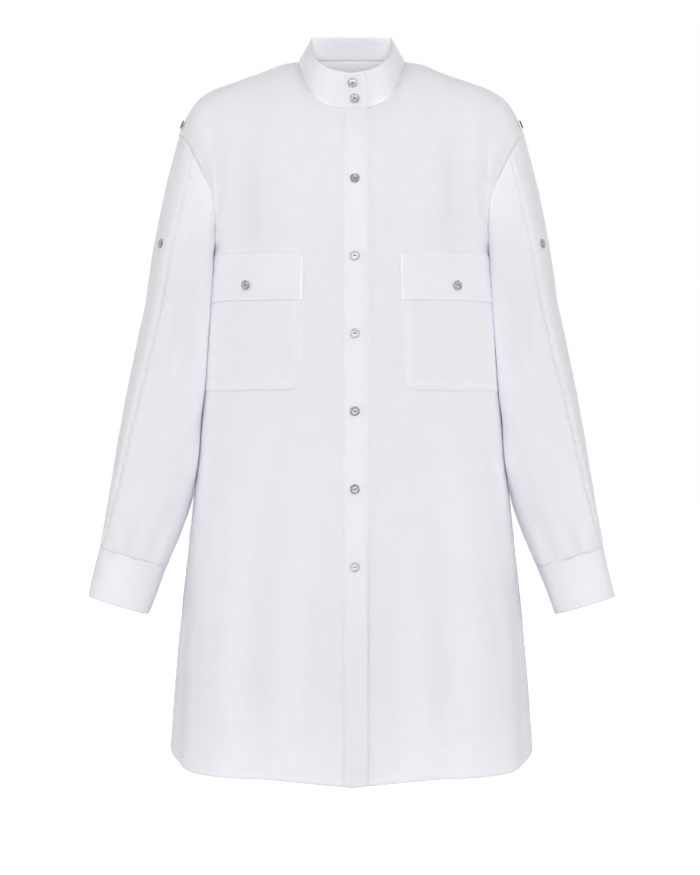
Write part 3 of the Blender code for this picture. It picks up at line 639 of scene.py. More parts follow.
def stitchTree():
    tree = bpy.data.node_groups.new("stitchRun", "GeometryNodeTree")
    tree.interface.new_socket("Geometry", in_out="INPUT", socket_type="NodeSocketGeometry")
    for label in ("Pitch", "Stitch Length", "Thread"):
        tree.interface.new_socket(label, in_out="INPUT", socket_type="NodeSocketFloat")
    tree.interface.new_socket("Material", in_out="INPUT", socket_type="NodeSocketMaterial")
    tree.interface.new_socket("Geometry", in_out="OUTPUT", socket_type="NodeSocketGeometry")
    entry = addNode(tree, "NodeGroupInput", (-900, 0))
    leave = addNode(tree, "NodeGroupOutput", (900, 0))
    spots = addNode(tree, "GeometryNodeCurveToPoints", (-600, 100), mode="LENGTH")
    ball = addNode(tree, "GeometryNodeMeshUVSphere", (-600, -250))
    setInputs(ball, {"Segments": 6, "Rings": 4, "Radius": 0.5})
    shape = addNode(tree, "ShaderNodeCombineXYZ", (-600, -450))
    stretch = addNode(tree, "GeometryNodeTransform", (-350, -250))
    turn = addNode(tree, "FunctionNodeAlignRotationToVector", (-350, 0), axis="X")
    place = addNode(tree, "GeometryNodeInstanceOnPoints", (-50, 100))
    real = addNode(tree, "GeometryNodeRealizeInstances", (200, 100))
    smooth = addNode(tree, "GeometryNodeSetShadeSmooth", (400, 100))
    paint = addNode(tree, "GeometryNodeSetMaterial", (600, 100))
    connect(tree, [
        (entry, "Geometry", spots, "Curve"), (entry, "Pitch", spots, "Length"),
        (entry, "Stitch Length", shape, "X"), (entry, "Thread", shape, "Y"),
        (entry, "Thread", shape, "Z"), (ball, "Mesh", stretch, "Geometry"),
        (shape, "Vector", stretch, "Scale"), (spots, "Tangent", turn, "Vector"),
        (spots, "Points", place, "Points"), (stretch, "Geometry", place, "Instance"),
        (turn, "Rotation", place, "Rotation"), (place, "Instances", real, "Geometry"),
        (real, "Geometry", smooth, "Geometry"), (smooth, "Geometry", paint, "Geometry"),
        (entry, "Material", paint, "Material"), (paint, "Geometry", leave, "Geometry"),
    ])
    return tree


stitchRun = stitchTree()


def socketNamed(tree, name):
    return next(s.identifier for s in tree.interface.items_tree if s.name == name and s.in_out == "INPUT")


def stitches(name, paths):
    # one piece of stitches along several paths of points
    curve = bpy.data.curves.new(name + "Path", "CURVE")
    curve.dimensions = "3D"
    for path in paths:
        spline = curve.splines.new("POLY")
        spline.points.add(len(path) - 1)
        for point, place in zip(spline.points, path):
            point.co = (*place, 1)
    runner = linked(name + "Path", curve)
    modifier = runner.modifiers.new("stitches", "NODES")
    modifier.node_group = stitchRun
    modifier[socketNamed(stitchRun, "Pitch")] = stitching["pitch"]
    modifier[socketNamed(stitchRun, "Stitch Length")] = stitching["length"]
    modifier[socketNamed(stitchRun, "Thread")] = stitching["thickness"]
    modifier[socketNamed(stitchRun, "Material")] = whiteThread
    graph = bpy.context.evaluated_depsgraph_get()
    mesh = bpy.data.meshes.new_from_object(runner.evaluated_get(graph))
    mesh.name = name
    bpy.data.objects.remove(runner, do_unlink=True)
    piece = linked(name, mesh)
    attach(piece, root)


def pathOn(grid, normals, wall, across, along):
    # a path over a grid at fractions of its columns and rows, just above the cloth
    rows, columns = grid.shape[:2]
    r, c = np.broadcast_arrays(np.clip(along, 0, 1) * (rows - 1), np.clip(across, 0, 1) * (columns - 1))
    r0 = np.minimum(r.astype(int), rows - 2)
    c0 = np.minimum(c.astype(int), columns - 2)
    fr = (r - r0)[..., None]
    fc = (c - c0)[..., None]

    def mixed(field):
        low = field[r0, c0] * (1 - fc) + field[r0, c0 + 1] * fc
        high = field[r0 + 1, c0] * (1 - fc) + field[r0 + 1, c0 + 1] * fc
        return low * (1 - fr) + high * fr

    return mixed(grid) + mixed(normals) * (wall / 2 + stitching["lift"])


def crossing(reach, distance):
    # where a row of growing or shrinking distances comes to one distance, from 0 to 1
    order = np.argsort(reach)
    return np.interp(distance, reach[order], np.arange(len(reach))[order]) / (len(reach) - 1)


def seamPaths(grid, normals, wall, rows):
    # each row of the table: edge, metres from it, where the path starts and ends, its points
    u, v = gridLengths(grid)
    fromEdge = {"first": u, "last": u[:, -1:] - u, "bottom": v.T, "top": (v[-1:] - v).T}
    paths = []
    for edge, distance, start, end, points in rows:
        reach = fromEdge[edge]
        along = np.linspace(start, end, points)
        spots = along * (len(reach) - 1)
        # up a side each point keeps to the row below it, along a rim to the nearest column
        spots = spots.astype(int) if edge in ("first", "last") else np.round(spots).astype(int)
        across = np.array([crossing(reach[spot], distance) for spot in spots])
        if edge in ("bottom", "top"):
            across, along = along, across
        paths.append(pathOn(grid, normals, wall, across, along))
    return paths


# Fronts and back

panelDetail = {
    "lowerStep": 0.0045,
    "upperRows": 54,
    "turnStep": 1.25,
    "cutStarts": 6.5,          # degrees from the middle to the first even column
    "edgeColumns": 9,
    "bridgeColumns": 3,
    "hemDepth": 0.006,
    "hemRise": 0.00040,
    "seamRise": 0.00045,
    "seamWidth": 0.007,
    "seamGroove": 0.0003,
    "pucker": 0.00022,
    "neckFall": 0.015,
    "neckFallReach": 0.018,
    "topGap": -0.0002,
    "sideGap": -0.0001,
    "metresPerTurn": 0.0034,   # of cloth for each degree round the body
    # tones: painted light and shade, the share by which the cloth there is lighter or greyer
    "creaseTone": 0.6,
    "beside": 0.08,            # painted light beside the sleeves, against their shade
    "low": 0.030,              # painted shade low down
    "lowMiddle": 0.045,        # and most so along the opening
    # painted highlight along the armhole, painted light along the neck's edge, painted shade along the
    # shoulders
    "armhole": 0.10,
    "neckEdge": 0.13,
    "shoulderEdge": 0.03,
    "throat": 0.12,            # painted light on the back's inner side, seen through the neck
    "throatEdge": 0.10,
    # small creases put on one by one: turn and z at both ends, width and depth in metres
    "creases": [
        (-44, -0.110, -40, -0.232, 0.012, -0.0012),
        (-52, -0.150, -47, -0.230, 0.008, -0.0006),
        (41, -0.095, 45, -0.232, 0.013, -0.0014),
        (51, -0.120, 50, -0.226, 0.009, -0.0007),
        (-20, -0.120, -17, -0.300, 0.016, 0.0007),
        (19, -0.130, 22, -0.360, 0.018, 0.0006),
        (-30, -0.420, -33, -0.560, 0.014, 0.0007),
        (30, -0.430, 35, -0.600, 0.016, 0.0008),
        (-50, -0.470, -42, -0.640, 0.010, -0.0006),
        (-62, -0.620, -55, -0.820, 0.012, -0.0009),
        (52, -0.560, 56, -0.800, 0.013, -0.0009),
        (-9, -0.600, -11, -0.850, 0.009, -0.0009),
        (9, -0.580, 10, -0.850, 0.010, -0.0009),
        (20, -0.640, 18, -0.850, 0.011, 0.0008),
        (-19, -0.600, -18, -0.840, 0.012, 0.0007),
        (-78, -0.300, -74, -0.420, 0.008, -0.0006),
        (80, -0.320, 74, -0.440, 0.009, -0.0006),
        (-84, -0.560, -76, -0.760, 0.010, 0.0008),
        (83, -0.500, 77, -0.740, 0.011, 0.0008),
        (170, -0.100, 166, -0.320, 0.014, -0.0009),
        (-172, -0.140, -168, -0.380, 0.016, -0.0008),
        (150, -0.200, 158, -0.330, 0.010, -0.0007),
        (-150, -0.180, -157, -0.340, 0.011, -0.0008),
        (135, -0.280, 128, -0.460, 0.012, 0.0008),
        (-133, -0.300, -124, -0.500, 0.013, 0.0008),
        (120, -0.230, 131, -0.300, 0.009, -0.0007),
        (-118, -0.225, -130, -0.290, 0.008, -0.0007),
        (175, -0.520, 172, -0.840, 0.012, 0.0010),
        (-173, -0.480, -175, -0.830, 0.013, 0.0009),
        (154, -0.560, 150, -0.850, 0.010, 0.0009),
        (-152, -0.600, -150, -0.850, 0.011, 0.0009),
        (100, -0.400, 104, -0.640, 0.012, -0.0008),
        (-101, -0.380, -106, -0.600, 0.011, -0.0008),
    ],
}


def creaseHeight(creases, turn, grid):
    # creases are short soft ridges or troughs between two places on the body
    total = np.zeros(turn.shape)
    metres = panelDetail["metresPerTurn"]
    u = wrapped(turn) * metres
    for turnA, zA, turnB, zB, width, depth in creases:
        run = np.array([(turnB - turnA) * metres, zB - zA])
        length = np.hypot(*run)
        run = run / length
        du = u - turnA * metres
        du = (du + 180 * metres) % (360 * metres) - 180 * metres
        dz = grid[..., 2] - zA
        along = (du * run[0] + dz * run[1]) / length
        across = (du * run[1] - dz * run[0]) / width
        fade = np.where((along > 0) & (along < 1), np.sin(math.pi * np.clip(along, 0, 1)) ** 0.8, 0)
        total += depth * np.exp(-across * across) * fade
    return total


def lowerHeights():
    count = round((body["chestZ"] - body["hemZ"]) / panelDetail["lowerStep"])
    return np.linspace(body["hemZ"], body["chestZ"], count + 1)[:, None]


def upperRises():
    return (np.arange(1, panelDetail["upperRows"] + 1) / panelDetail["upperRows"])[:, None]


def frontGrid(hand):
    # edge columns keep their distance from the middle, the others their angle
    starts = panelDetail["cutStarts"]
    edges = np.linspace(opening["overlapEdge"], opening["underlapEdge"], panelDetail["edgeColumns"])
    if hand > 0:
        edges = edges[::-1]
    inner = edges[-1]
    bridge = np.arange(1, panelDetail["bridgeColumns"] + 1) / (panelDetail["bridgeColumns"] + 1)
    z = lowerHeights()
    rise = upperRises()
    columns = []
    for x in edges:
        base = bodyTurn(x, body["chestZ"])
        columns.append((bodyTurn(x, z + hemLift(base, z)), base, x))
    base = bodyTurn(inner, body["chestZ"])
    innerLow = bodyTurn(inner, z + hemLift(base, z))
    for share in bridge:
        turn = innerLow + (hand * starts - innerLow) * share
        columns.append((turn, base + (hand * starts - base) * share, None))
    for turn in np.linspace(starts, 90, round((90 - starts) / panelDetail["turnStep"]) + 1):
        columns.append((np.full(z.shape, hand * turn), hand * turn, None))
    low, high, turnGrid = [], [], []
    for turn, base, x in columns:
        low.append(bodyPoint(turn, z + hemLift(base, z)))
        upper = upperPoint(np.full(rise.shape, float(base)), rise, True)
        if x is not None:
            upper[..., 0] = x
        high.append(upper)
        turnGrid.append(np.concatenate([turn, np.full(rise.shape, float(base))]))
    last = len(edges) - 1
    innerGap = inner - upperPoint(np.full(rise.shape, float(columns[last][1])), rise, True)[..., 0]
    for index, share in enumerate(bridge):
        high[last + 1 + index][..., 0] += innerGap * (1 - share)
    grid = np.concatenate([np.concatenate(low, axis=1), np.concatenate(high, axis=1)])
    if hand > 0:
        reach = (opening["tuckEnds"] - grid[..., 0]) / (opening["tuckEnds"] - opening["overlapEdge"])
        grid = grid - bodyNormals(grid) * (opening["tuck"] * eased(reach))[..., None]
    return grid, np.concatenate(turnGrid, axis=1)


def backGrid():
    turns = np.linspace(90, 270, round(180 / panelDetail["turnStep"]) + 1)
    z = lowerHeights()
    low = bodyPoint(turns[None, :], z + hemLift(turns[None, :], z))
    high = upperPoint(turns[None, :], upperRises(), False)
    grid = np.concatenate([low, high])
    # the cloth sinks a little behind the neck
    _, v = gridLengths(grid)
    fall = (v[-1:] - v) / panelDetail["neckFallReach"]
    atNeck = eased((np.abs(wrapped(turns)) - 140) / 15)
    grid[..., 2] -= panelDetail["neckFall"] * fall * np.exp(1 - fall) * atNeck
    return grid, np.broadcast_to(turns, grid.shape[:2])


def insetEdge(grid, edge, distance):
    # moves one edge of a grid inwards by metres, for the gap at a seam
    lines = grid if edge in ("bottom", "top") else grid.transpose(1, 0, 2)
    at, inner = (0, 1) if edge in ("bottom", "first") else (-1, -2)
    step = lines[inner] - lines[at]
    lines[at] += step / np.linalg.norm(step, axis=-1, keepdims=True) * distance


def band(distance, width, softness=0.0012):
    # 1 within width of an edge, 0 beyond
    return 1 - eased((distance - width + softness / 2) / softness)


# painted light beside the sleeves, against their shade, and painted shade low down
def paintedBroadShading(turn, z):
    side = np.abs(wrapped(turn))
    low = eased((-0.52 - z) / 0.22)
    beside = eased((side - 62) / 16) * (1 - eased((side - 96) / 20)) * eased((z + 0.56) / 0.08) * (z < -0.15)
    lowTone = panelDetail["low"] * (1 - eased((side - 58) / 20)) + panelDetail["lowMiddle"] * near(side, 14)
    return panelDetail["beside"] * beside - low * lowTone


# painted shade in the large folds' troughs and painted highlight on their ridges
def foldTone(turn, z):
    return linen["foldTone"] * np.clip(foldHeight(body["folds"], turn, z, 1.0) / 0.0042, -1.3, 1.1)


def panelRelief(grid, turn, seed, sides):
    z = grid[..., 2]
    u, v = gridLengths(grid)
    creases = creaseHeight(panelDetail["creases"], turn, grid)
    hem = band(v, panelDetail["hemDepth"])
    height = creases + panelDetail["hemRise"] * hem
    height -= panelDetail["seamGroove"] * near(v - panelDetail["hemDepth"], 0.0011)
    height += ripple(u, 0.0125, 2.2 * np.sin(u * 31 + seed)) * panelDetail["pucker"] * near(v, 0.011)
    doubled = hem
    # painted shade in fold and crease troughs and painted highlight on their ridges, weaker near the hem
    tone = foldTone(turn, z) * (1 - 0.75 * eased((-0.735 - z) / 0.07))
    tone += linen["foldTone"] * panelDetail["creaseTone"] * np.clip(creases / 0.0012, -1.2, 1.0)
    for edge in sides:
        reach = u if edge == "first" else u[:, -1:] - u
        seam = band(reach, panelDetail["seamWidth"], 0.002)
        wave = ripple(v, 0.016, 1.7 * np.sin(v * 23 + seed))
        height += panelDetail["seamRise"] * seam
        height += panelDetail["pucker"] * wave * near(reach - 0.004, 0.007)
        height -= panelDetail["seamGroove"] * near(reach, 0.0012) * (z < body["chestZ"])
        doubled = np.maximum(doubled, 0.6 * band(reach, panelDetail["seamWidth"]))
        # painted highlight along the armhole seam
        tone += panelDetail["armhole"] * near(reach, 0.016) * eased((z - body["chestZ"]) / 0.03)
    top = v[-1:] - v
    side = np.abs(wrapped(turn))
    onNeck = 1 - eased((side - body["frontNeck"] + 2) / 4) * eased((body["backNeck"] - side + 2) / 4)
    # painted light along the neck's edge, against the collar's shade, and painted shade along the shoulders'
    # tops
    tone += (panelDetail["neckEdge"] * onNeck - panelDetail["shoulderEdge"]) * near(top, 0.008)
    tone -= panelDetail["shoulderEdge"] * near(top, 0.025) * (1 - onNeck)
    # painted light where the cloth lies double
    tone += linen["doubled"] * np.clip(doubled, 0, 1) + paintedBroadShading(turn, z)
    normals = bodyNormals(grid)
    grid = grid + normals * height[..., None]
    return crumpled(grid, normals, cloth["crumple"], cloth["crumpleSize"], seed), tone


fronts = {}
for name, hand in hands:
    grid, turn = frontGrid(hand)
    grid, tone = panelRelief(grid, turn, 1.3 + hand, ("last",))
    if hand > 0:
        # painted light along the placket's edge, against the shade of its step, and painted shade low down,
        # where the fronts part
        line = near(grid[..., 0] - opening["overlapEdge"] - opening["lineInset"], opening["lineWidth"])
        tone = tone + line * (opening["edgeTone"] - opening["gapTone"] * eased((-0.50 - grid[..., 2]) / 0.16))
    insetEdge(grid, "top", panelDetail["topGap"])
    insetEdge(grid, "last", panelDetail["sideGap"])
    fronts[name] = {"grid": grid, "tone": tone, "normals": bodyNormals(grid)}
    piece = clothShell("front" + name.title(), grid, cloth["wall"], whiteLinen, tone)
    finished(piece, "front_" + name)
print("fronts made")

grid, turn = backGrid()
grid, tone = panelRelief(grid, turn, 4.1, ("first", "last"))
insetEdge(grid, "top", panelDetail["topGap"])
insetEdge(grid, "first", panelDetail["sideGap"])
insetEdge(grid, "last", panelDetail["sideGap"])
back = {"grid": grid, "normals": bodyNormals(grid)}
# painted light on the back's inner side, seen through the neck, most at its top edge
drop = gridLengths(grid)[1]
drop = drop[-1:] - drop
inside = tone + panelDetail["throat"] * eased((0.05 - drop) / 0.03)
inside = inside + panelDetail["throatEdge"] * near(drop, 0.008)
piece = clothShell("backPanel", grid, cloth["wall"], whiteLinen, tone, inside)
finished(piece, "back")
print("back made")


# Placket

placket = {
    "wall": 0.0011,
    "lift": 0.0005,
    "crown": 0.0004,
    "stitchInset": 0.0016,
    "outerInset": 0.0022,
    "seamDepth": 0.00035,
    # painted shade along the stitch line, over the top and low down
    "seamTone": 0.05,
    "upperTone": 0.05,
    "lowTone": 0.03,
}


def placketPiece():
    base = fronts["right"]
    strip = (slice(None), slice(panelDetail["edgeColumns"]))
    grid = base["grid"][strip]
    u, v = gridLengths(grid)
    inner = u[:, -1:] - u
    crown = np.sin(math.pi * np.clip(u / u[:, -1:], 0, 1)) ** 0.5
    height = cloth["solidWall"] / 2 + cloth["layerGap"] + placket["lift"] - placket["crown"] * (1 - crown)
    height -= placket["seamDepth"] * near(inner - placket["stitchInset"], 0.0009)
    height += 0.00012 * ripple(v, 0.013) * near(inner, 0.004)
    grid = grid + base["normals"][strip] * height[..., None]
    insetEdge(grid, "top", 0.0006)
    upper = eased((grid[..., 2] + 0.17) / 0.1)
    # the panel's painted light and shade, weakened, with painted shade low down, along the stitch line and
    # over the top
    tone = base["tone"][strip] * 0.7 - placket["lowTone"] * eased((-0.50 - grid[..., 2]) / 0.25)
    tone -= placket["seamTone"] * (1 - upper) * near(inner - placket["stitchInset"], 0.0010)
    tone -= placket["upperTone"] * upper
    piece = clothShell("placketBand", grid, placket["wall"], whiteLinen, tone)
    finished(piece, "placket")
    stitches("placketStitches", seamPaths(grid, bodyNormals(grid), placket["wall"], [
        ("last", placket["stitchInset"], 0.004, 0.985, 420),
        ("first", placket["outerInset"], 0.004, 0.985, 420),
    ]))


placketPiece()
print("placket made")


# Pockets and flaps

pocket = {
    "inner": 16.2,
    "outer": 79.0,
    "top": -0.240,
    "bottom": -0.396,
    "corner": 0.011,
    "cornerReach": 0.030,
    "metresPerTurn": 0.00245,
    "border": 0.010,
    "wall": 0.0008,
    "lift": 0.0006,
    "stitchInset": 0.0018,
    # painted light over the pocket and along its edge
    "tone": 0.03,
    "edgeTone": 0.04,
    "pressedZ": -0.299,
}

flap = {
    "top": -0.233,
    "bottom": -0.290,
    "overhang": 0.25,          # degrees past the pocket's inner edge
    "dip": 0.0030,
    "wall": 0.0010,
    "lift": 0.0009,
    "spring": 0.0008,
    "wave": 0.0002,
    "stitchInset": 0.0045,
    "topInset": 0.0016,
}


def frontSkin(hand, turn, z):
    # the front's surface with its creases and unevenness, and its painted light and shade, as the front panel
    # has it
    grid = bodyPoint(hand * turn, z)
    normals = bodyNormals(grid)
    grid = grid + normals * creaseHeight(panelDetail["creases"], hand * turn, grid)[..., None]
    tone = 0.7 * foldTone(hand * turn, grid[..., 2]) + paintedBroadShading(hand * turn, grid[..., 2])
    return crumpled(grid, normals, cloth["crumple"], cloth["crumpleSize"], 1.3 + hand), tone


def pocketPiece(name, hand):
    u = np.linspace(0, 1, 61)[None, :]
    v = np.linspace(0, 1, 63)[:, None]
    turn = pocket["inner"] + (pocket["outer"] - pocket["inner"]) * u + 0 * v
    z = pocket["bottom"] + (pocket["top"] - pocket["bottom"]) * v + 0 * u
    # the lower inner corner is drawn in to a round one
    radius = pocket["corner"]
    beyond = np.maximum(radius - (turn - pocket["inner"]) * pocket["metresPerTurn"], 0)
    short = radius - np.sqrt(radius**2 - beyond**2)
    z = z + short * np.clip(1 - (z - pocket["bottom"]) / pocket["cornerReach"], 0, 1)
    grid, tone = frontSkin(hand, turn, z)
    across, along = gridLengths(grid)
    edge = np.minimum(np.minimum(across, across[:, -1:] - across), along)
    swell = 0.0004 * eased(edge / 0.012) + 0.0003 * band(edge, pocket["border"], 0.0016)
    swell -= 0.0003 * near(edge - pocket["stitchInset"], 0.0008)
    swell += 0.00014 * ripple(across + along, 0.012) * near(edge, 0.005)
    swell *= 1 - eased((z - pocket["pressedZ"]) / 0.008)    # pressed flat under the flap
    grid = grid + bodyNormals(grid) * (pocket["lift"] + swell)[..., None]
    # painted light over the pocket, brighter on its doubled border and along its edge, against the shade
    # there
    tone = tone + pocket["tone"] + linen["doubled"] * band(edge, pocket["border"], 0.003)
    tone += pocket["edgeTone"] * near(edge, 0.0013)
    piece = clothShell("pocket" + name.title(), grid, pocket["wall"], whiteLinen, tone)
    finished(piece, "pocket_" + name)
    stitches("pocketStitches" + name.title(), seamPaths(grid, bodyNormals(grid), pocket["wall"], [
        ("bottom", pocket["stitchInset"], 0.0, 1.0, 90),
        ("first", pocket["stitchInset"], 0.03, 1.0, 90),
        ("last", pocket["stitchInset"], 0.03, 1.0, 90),
    ]))


def flapPiece(name, hand):
    u = np.linspace(0, 1, 61)[None, :]
    v = np.linspace(0, 1, 27)[:, None]
    inner = pocket["inner"] - flap["overhang"]
    turn = inner + (pocket["outer"] - inner) * u + 0 * v
    top = flap["top"] - flap["dip"] * (1 - np.sin(math.pi * u) ** 0.4)
    grid, tone = frontSkin(hand, turn, flap["bottom"] + (top - flap["bottom"]) * v)
    across, along = gridLengths(grid)
    free = np.minimum(np.minimum(across, across[:, -1:] - across), along)
    held = along[-1:] - along
    loose = eased(held / 0.05)
    lift = flap["lift"] + flap["spring"] * eased(held / 0.007) + 0.0001 * loose
    lift += flap["wave"] * loose * ripple(across, 0.085, 1.1 + hand)
    lift += 0.0002 * band(free, 0.005, 0.0015) - 0.00025 * near(free - flap["stitchInset"], 0.0009)
    grid = grid + bodyNormals(grid) * lift[..., None]
    # painted light along the free edges and painted shade along the stitched top
    tone = tone + 0.02 * near(free, 0.0013) - 0.02 * near(held, 0.0015)
    piece = clothShell("pocketFlap" + name.title(), grid, flap["wall"], whiteLinen, tone)
    finished(piece, "pocket_flap_" + name)
    stitches("flapStitches" + name.title(), seamPaths(grid, bodyNormals(grid), flap["wall"], [
        ("bottom", flap["stitchInset"], 0.03, 0.97, 90),
        ("first", flap["stitchInset"], 0.08, 1.0, 40),
        ("last", flap["stitchInset"], 0.08, 1.0, 40),
        ("top", flap["topInset"], 0.0, 1.0, 90),
    ]))


for name, hand in hands:
    pocketPiece(name, hand)
    flapPiece(name, hand)
print("pockets made")


# Collar

collar = {
    "centreY": -0.006,
    "belly": 0.0012,
    "tuck": 0.0025,
    "tuckStarts": 40,
    "overEnd": 16.5,
    "underEnd": 10,
    "wall": 0.0015,
    "rim": 0.55,               # the wall at its edges, as a share
    "stitchInset": 0.0050,
    "baseGap": -0.0010,
    # tones: painted light and shade on the collar
    "outerTone": -0.015,
    "sideTone": -0.05,
    "footTone": 0.13,
    "insideTone": -0.075,
    "nape": 143,
    "napeTone": 0.12,
    "innerFootTone": 0.03,
}


def bandSeams(edge):
    # the dent of the stitches round a band's edge
    return -0.00035 * near(edge - collar["stitchInset"], 0.0010)


def bandWall(wall, edge):
    return wall * (collar["rim"] + (1 - collar["rim"]) * eased(edge / 0.0016))


def collarPiece():
    stops = np.linspace(collar["overEnd"], -360 - collar["underEnd"], 241)[None, :]
    share = np.linspace(0, 1, 21)[:, None]
    base = neckPoint(stops, "base")
    grid = base + (neckPoint(stops, "top") - base) * share[..., None]
    outward = grid - np.array([0, collar["centreY"], 0])
    outward[..., 2] = 0
    outward /= np.linalg.norm(outward, axis=-1, keepdims=True)
    beforeLap = -stops - (360 - collar["tuckStarts"])
    tuck = collar["tuck"] * eased(beforeLap / (collar["tuckStarts"] - collar["overEnd"]))
    u, v = gridLengths(grid)
    edge = np.minimum(np.minimum(v, v[-1:] - v), np.minimum(u, u[:, -1:] - u))
    height = collar["belly"] * np.sin(math.pi * share) - tuck + bandSeams(edge)
    height = height + 0.00030 * ripple(u, 0.034, 0.8 * np.sin(u * 17)) * near(v, 0.012)
    grid = grid + outward * height[..., None]
    insetEdge(grid, "bottom", collar["baseGap"])
    side = np.abs(wrapped(stops))
    atSide = eased((side - 44) / 16) * (1 - eased((side - 120) / 30))
    # painted shade on the sides and overall, painted light along the outer foot; inside, painted shade, with
    # painted light at the nape's inner corner and along the foot
    outside = collar["sideTone"] * atSide + collar["outerTone"]
    outside = outside + collar["footTone"] * near(v, 0.006) * eased((side - 15) / 20)
    inside = collar["insideTone"] * eased((side - 40) / 30)
    inside = inside + collar["napeTone"] * near(side - collar["nape"], 12)
    inside = inside + collar["innerFootTone"] * near(v, 0.004)
    # the columns run round against the panels' way, so the first face is the inner one
    piece = clothShell("collarBand", grid, bandWall(collar["wall"], edge), bandLinen, inside, outside)
    finished(piece, "collar")
    normals = gridNormals(grid, (0, collar["centreY"], 0))
    stitches("collarStitches", seamPaths(grid, normals, collar["wall"], [
        ("bottom", collar["stitchInset"], 0.012, 0.985, 360),
        ("top", collar["stitchInset"], 0.012, 0.985, 360),
        ("first", collar["stitchInset"], 0.11, 0.89, 30),
    ]))


collarPiece()
print("collar made")


# Sleeves

sleeve = {
    "square": 2.2,
    "capSwell": 0.0045,
    "underarmClearance": 0.0008,
    "underarmSwell": 0.0035,
    "underarmSpan": 110,
    "seamRidge": 0.0035,
    "ridgeWidth": 20,
    "ridgeFades": 0.8,
    "corner": 0.016,
    "cornerTurns": (94, 178),
    "cornerFades": (0.56, 0.80),
    "restsOff": 0.0014,        # how far the sleeve's skin stays off the body's
    "restsSoftly": 0.0012,
    "armSeam": 54,
    "capRows": 46,
    "rows": 92,
    "columns": {"front": 34, "back": 76},
    "cuts": {"front": (0.105, 0.535, 0.048), "back": (0.235, 0.535, 0.103)},
    "stitchInset": 0.0062,
    "seamDent": 0.0022,
    "seamPucker": 0.0007,
    "gather": 0.0006,
    "seamWave": 0.0145,
    # tones: painted light and shade
    "frontTone": 0.02,
    "frontSeam": 0.13,
    "backSeam": 0.10,
    "capTone": 0.03,
    "capTop": 0.04,
    "armholeTone": 0.03,
    "cornerTone": 0.10,
    "lowerTone": 0.10,
    "stripTone": 0.02,
    "capStrip": 0.045,
    # z, x of the sleeve's middle line
    "middle": [(-0.60, 0.263), (-0.552, 0.2490), (-0.437, 0.2294), (-0.2895, 0.2093), (-0.20, 0.190)],
    "middleY": 0.004,
    # along, x, y, z, half width, half depth, tilt, seam turn
    "sections": [
        (0.00, 0.2093, 0.016, -0.2895, 0.0377, 0.062, 4, 70),
        (0.24, 0.2193, 0.014, -0.3620, 0.0432, 0.060, 5, 63),
        (0.48, 0.2294, 0.008, -0.4370, 0.0471, 0.057, 7, 53),
        (0.73, 0.2392, 0.000, -0.5115, 0.0495, 0.053, 11, 44),
        (0.86, 0.2490, -0.005, -0.5520, 0.0460, 0.051, 15, 37),
        (0.96, 0.2575, -0.010, -0.5815, 0.0428, 0.046, 17, 27),
        (1.00, 0.2613, -0.013, -0.5935, 0.0416, 0.042, 17, 20),
    ],
    # large folds, shared with the solid: turn, top, bottom, width, depth, lean
    "folds": [
        (118, -0.02, 0.34, 16, -0.0028, 30),
        (140, 0.30, 0.66, 15, -0.0034, -40),
        (205, 0.34, 0.72, 15, -0.0024, 36),
        (250, 0.28, 0.70, 17, -0.0044, -34),
        (300, 0.36, 0.80, 16, -0.0036, 30),
        (275, 0.60, 1.05, 14, -0.0036, -16),
        (76, 0.80, 1.10, 9, -0.0026, 4),
        (120, 0.76, 1.08, 12, -0.0024, -10),
        (315, 0.78, 1.08, 10, -0.0028, 8),
    ],
    # small creases: turn, along, turn, along, width in degrees, depth
    "creases": [
        (92, 0.02, 100, 0.22, 9, -0.0007),
        (112, 0.10, 96, 0.34, 8, 0.0007),
        (128, 0.34, 104, 0.52, 8, -0.0007),
        (100, 0.44, 90, 0.66, 10, 0.0006),
        (140, 0.56, 118, 0.72, 8, -0.0008),
        (88, 0.74, 84, 0.99, 5, -0.0016),
        (70, 0.80, 68, 1.00, 4, 0.0010),
        (112, 0.82, 114, 1.00, 5, -0.0012),
        (236, 0.40, 262, 0.52, 9, -0.0012),
        (282, 0.44, 256, 0.60, 9, 0.0010),
        (310, 0.50, 288, 0.66, 8, -0.0012),
        (224, 0.60, 250, 0.74, 9, -0.0010),
        (330, 0.30, 318, 0.52, 8, -0.0008),
        (345, 0.62, 335, 0.86, 7, -0.0009),
        (300, 0.82, 302, 1.00, 5, -0.0013),
        (330, 0.84, 331, 1.00, 4, -0.0011),
        (262, 0.84, 258, 1.00, 5, -0.0012),
        (20, 0.10, 24, 0.34, 7, -0.0006),
        (14, 0.52, 8, 0.80, 7, -0.0007),
    ],
}


def ringPoint(section, turn, side, push):
    # a point of a sleeve or cuff section, turn degrees from its outer side to the front
    x, y, z, halfWidth, halfDepth, tilt = section
    tilt = np.radians(tilt)
    cosine = np.cos(np.radians(turn))
    sine = np.sin(np.radians(turn))
    out = halfWidth * powered(cosine, sleeve["square"]) + push * cosine
    front = halfDepth * powered(sine, sleeve["square"]) + push * sine
    return np.stack([side * (x + out * np.cos(tilt)), y - front, z + out * np.sin(tilt)], axis=-1)


def sleeveCreases(turn, along):
    total = np.zeros(turn.shape)
    for turnA, alongA, turnB, alongB, width, depth in sleeve["creases"]:
        share = (along - alongA) / (alongB - alongA)
        centre = turnA + (turnB - turnA) * np.clip(share, 0, 1)
        across = wrapped(turn - centre) / width
        fade = np.where((share > 0) & (share < 1), np.sin(math.pi * np.clip(share, 0, 1)) ** 0.7, 0)
        if alongB >= 0.99:
            fade = np.where(share > 0, eased(share * 1.3), 0)
        total += depth * np.exp(-across * across) * fade
    return total


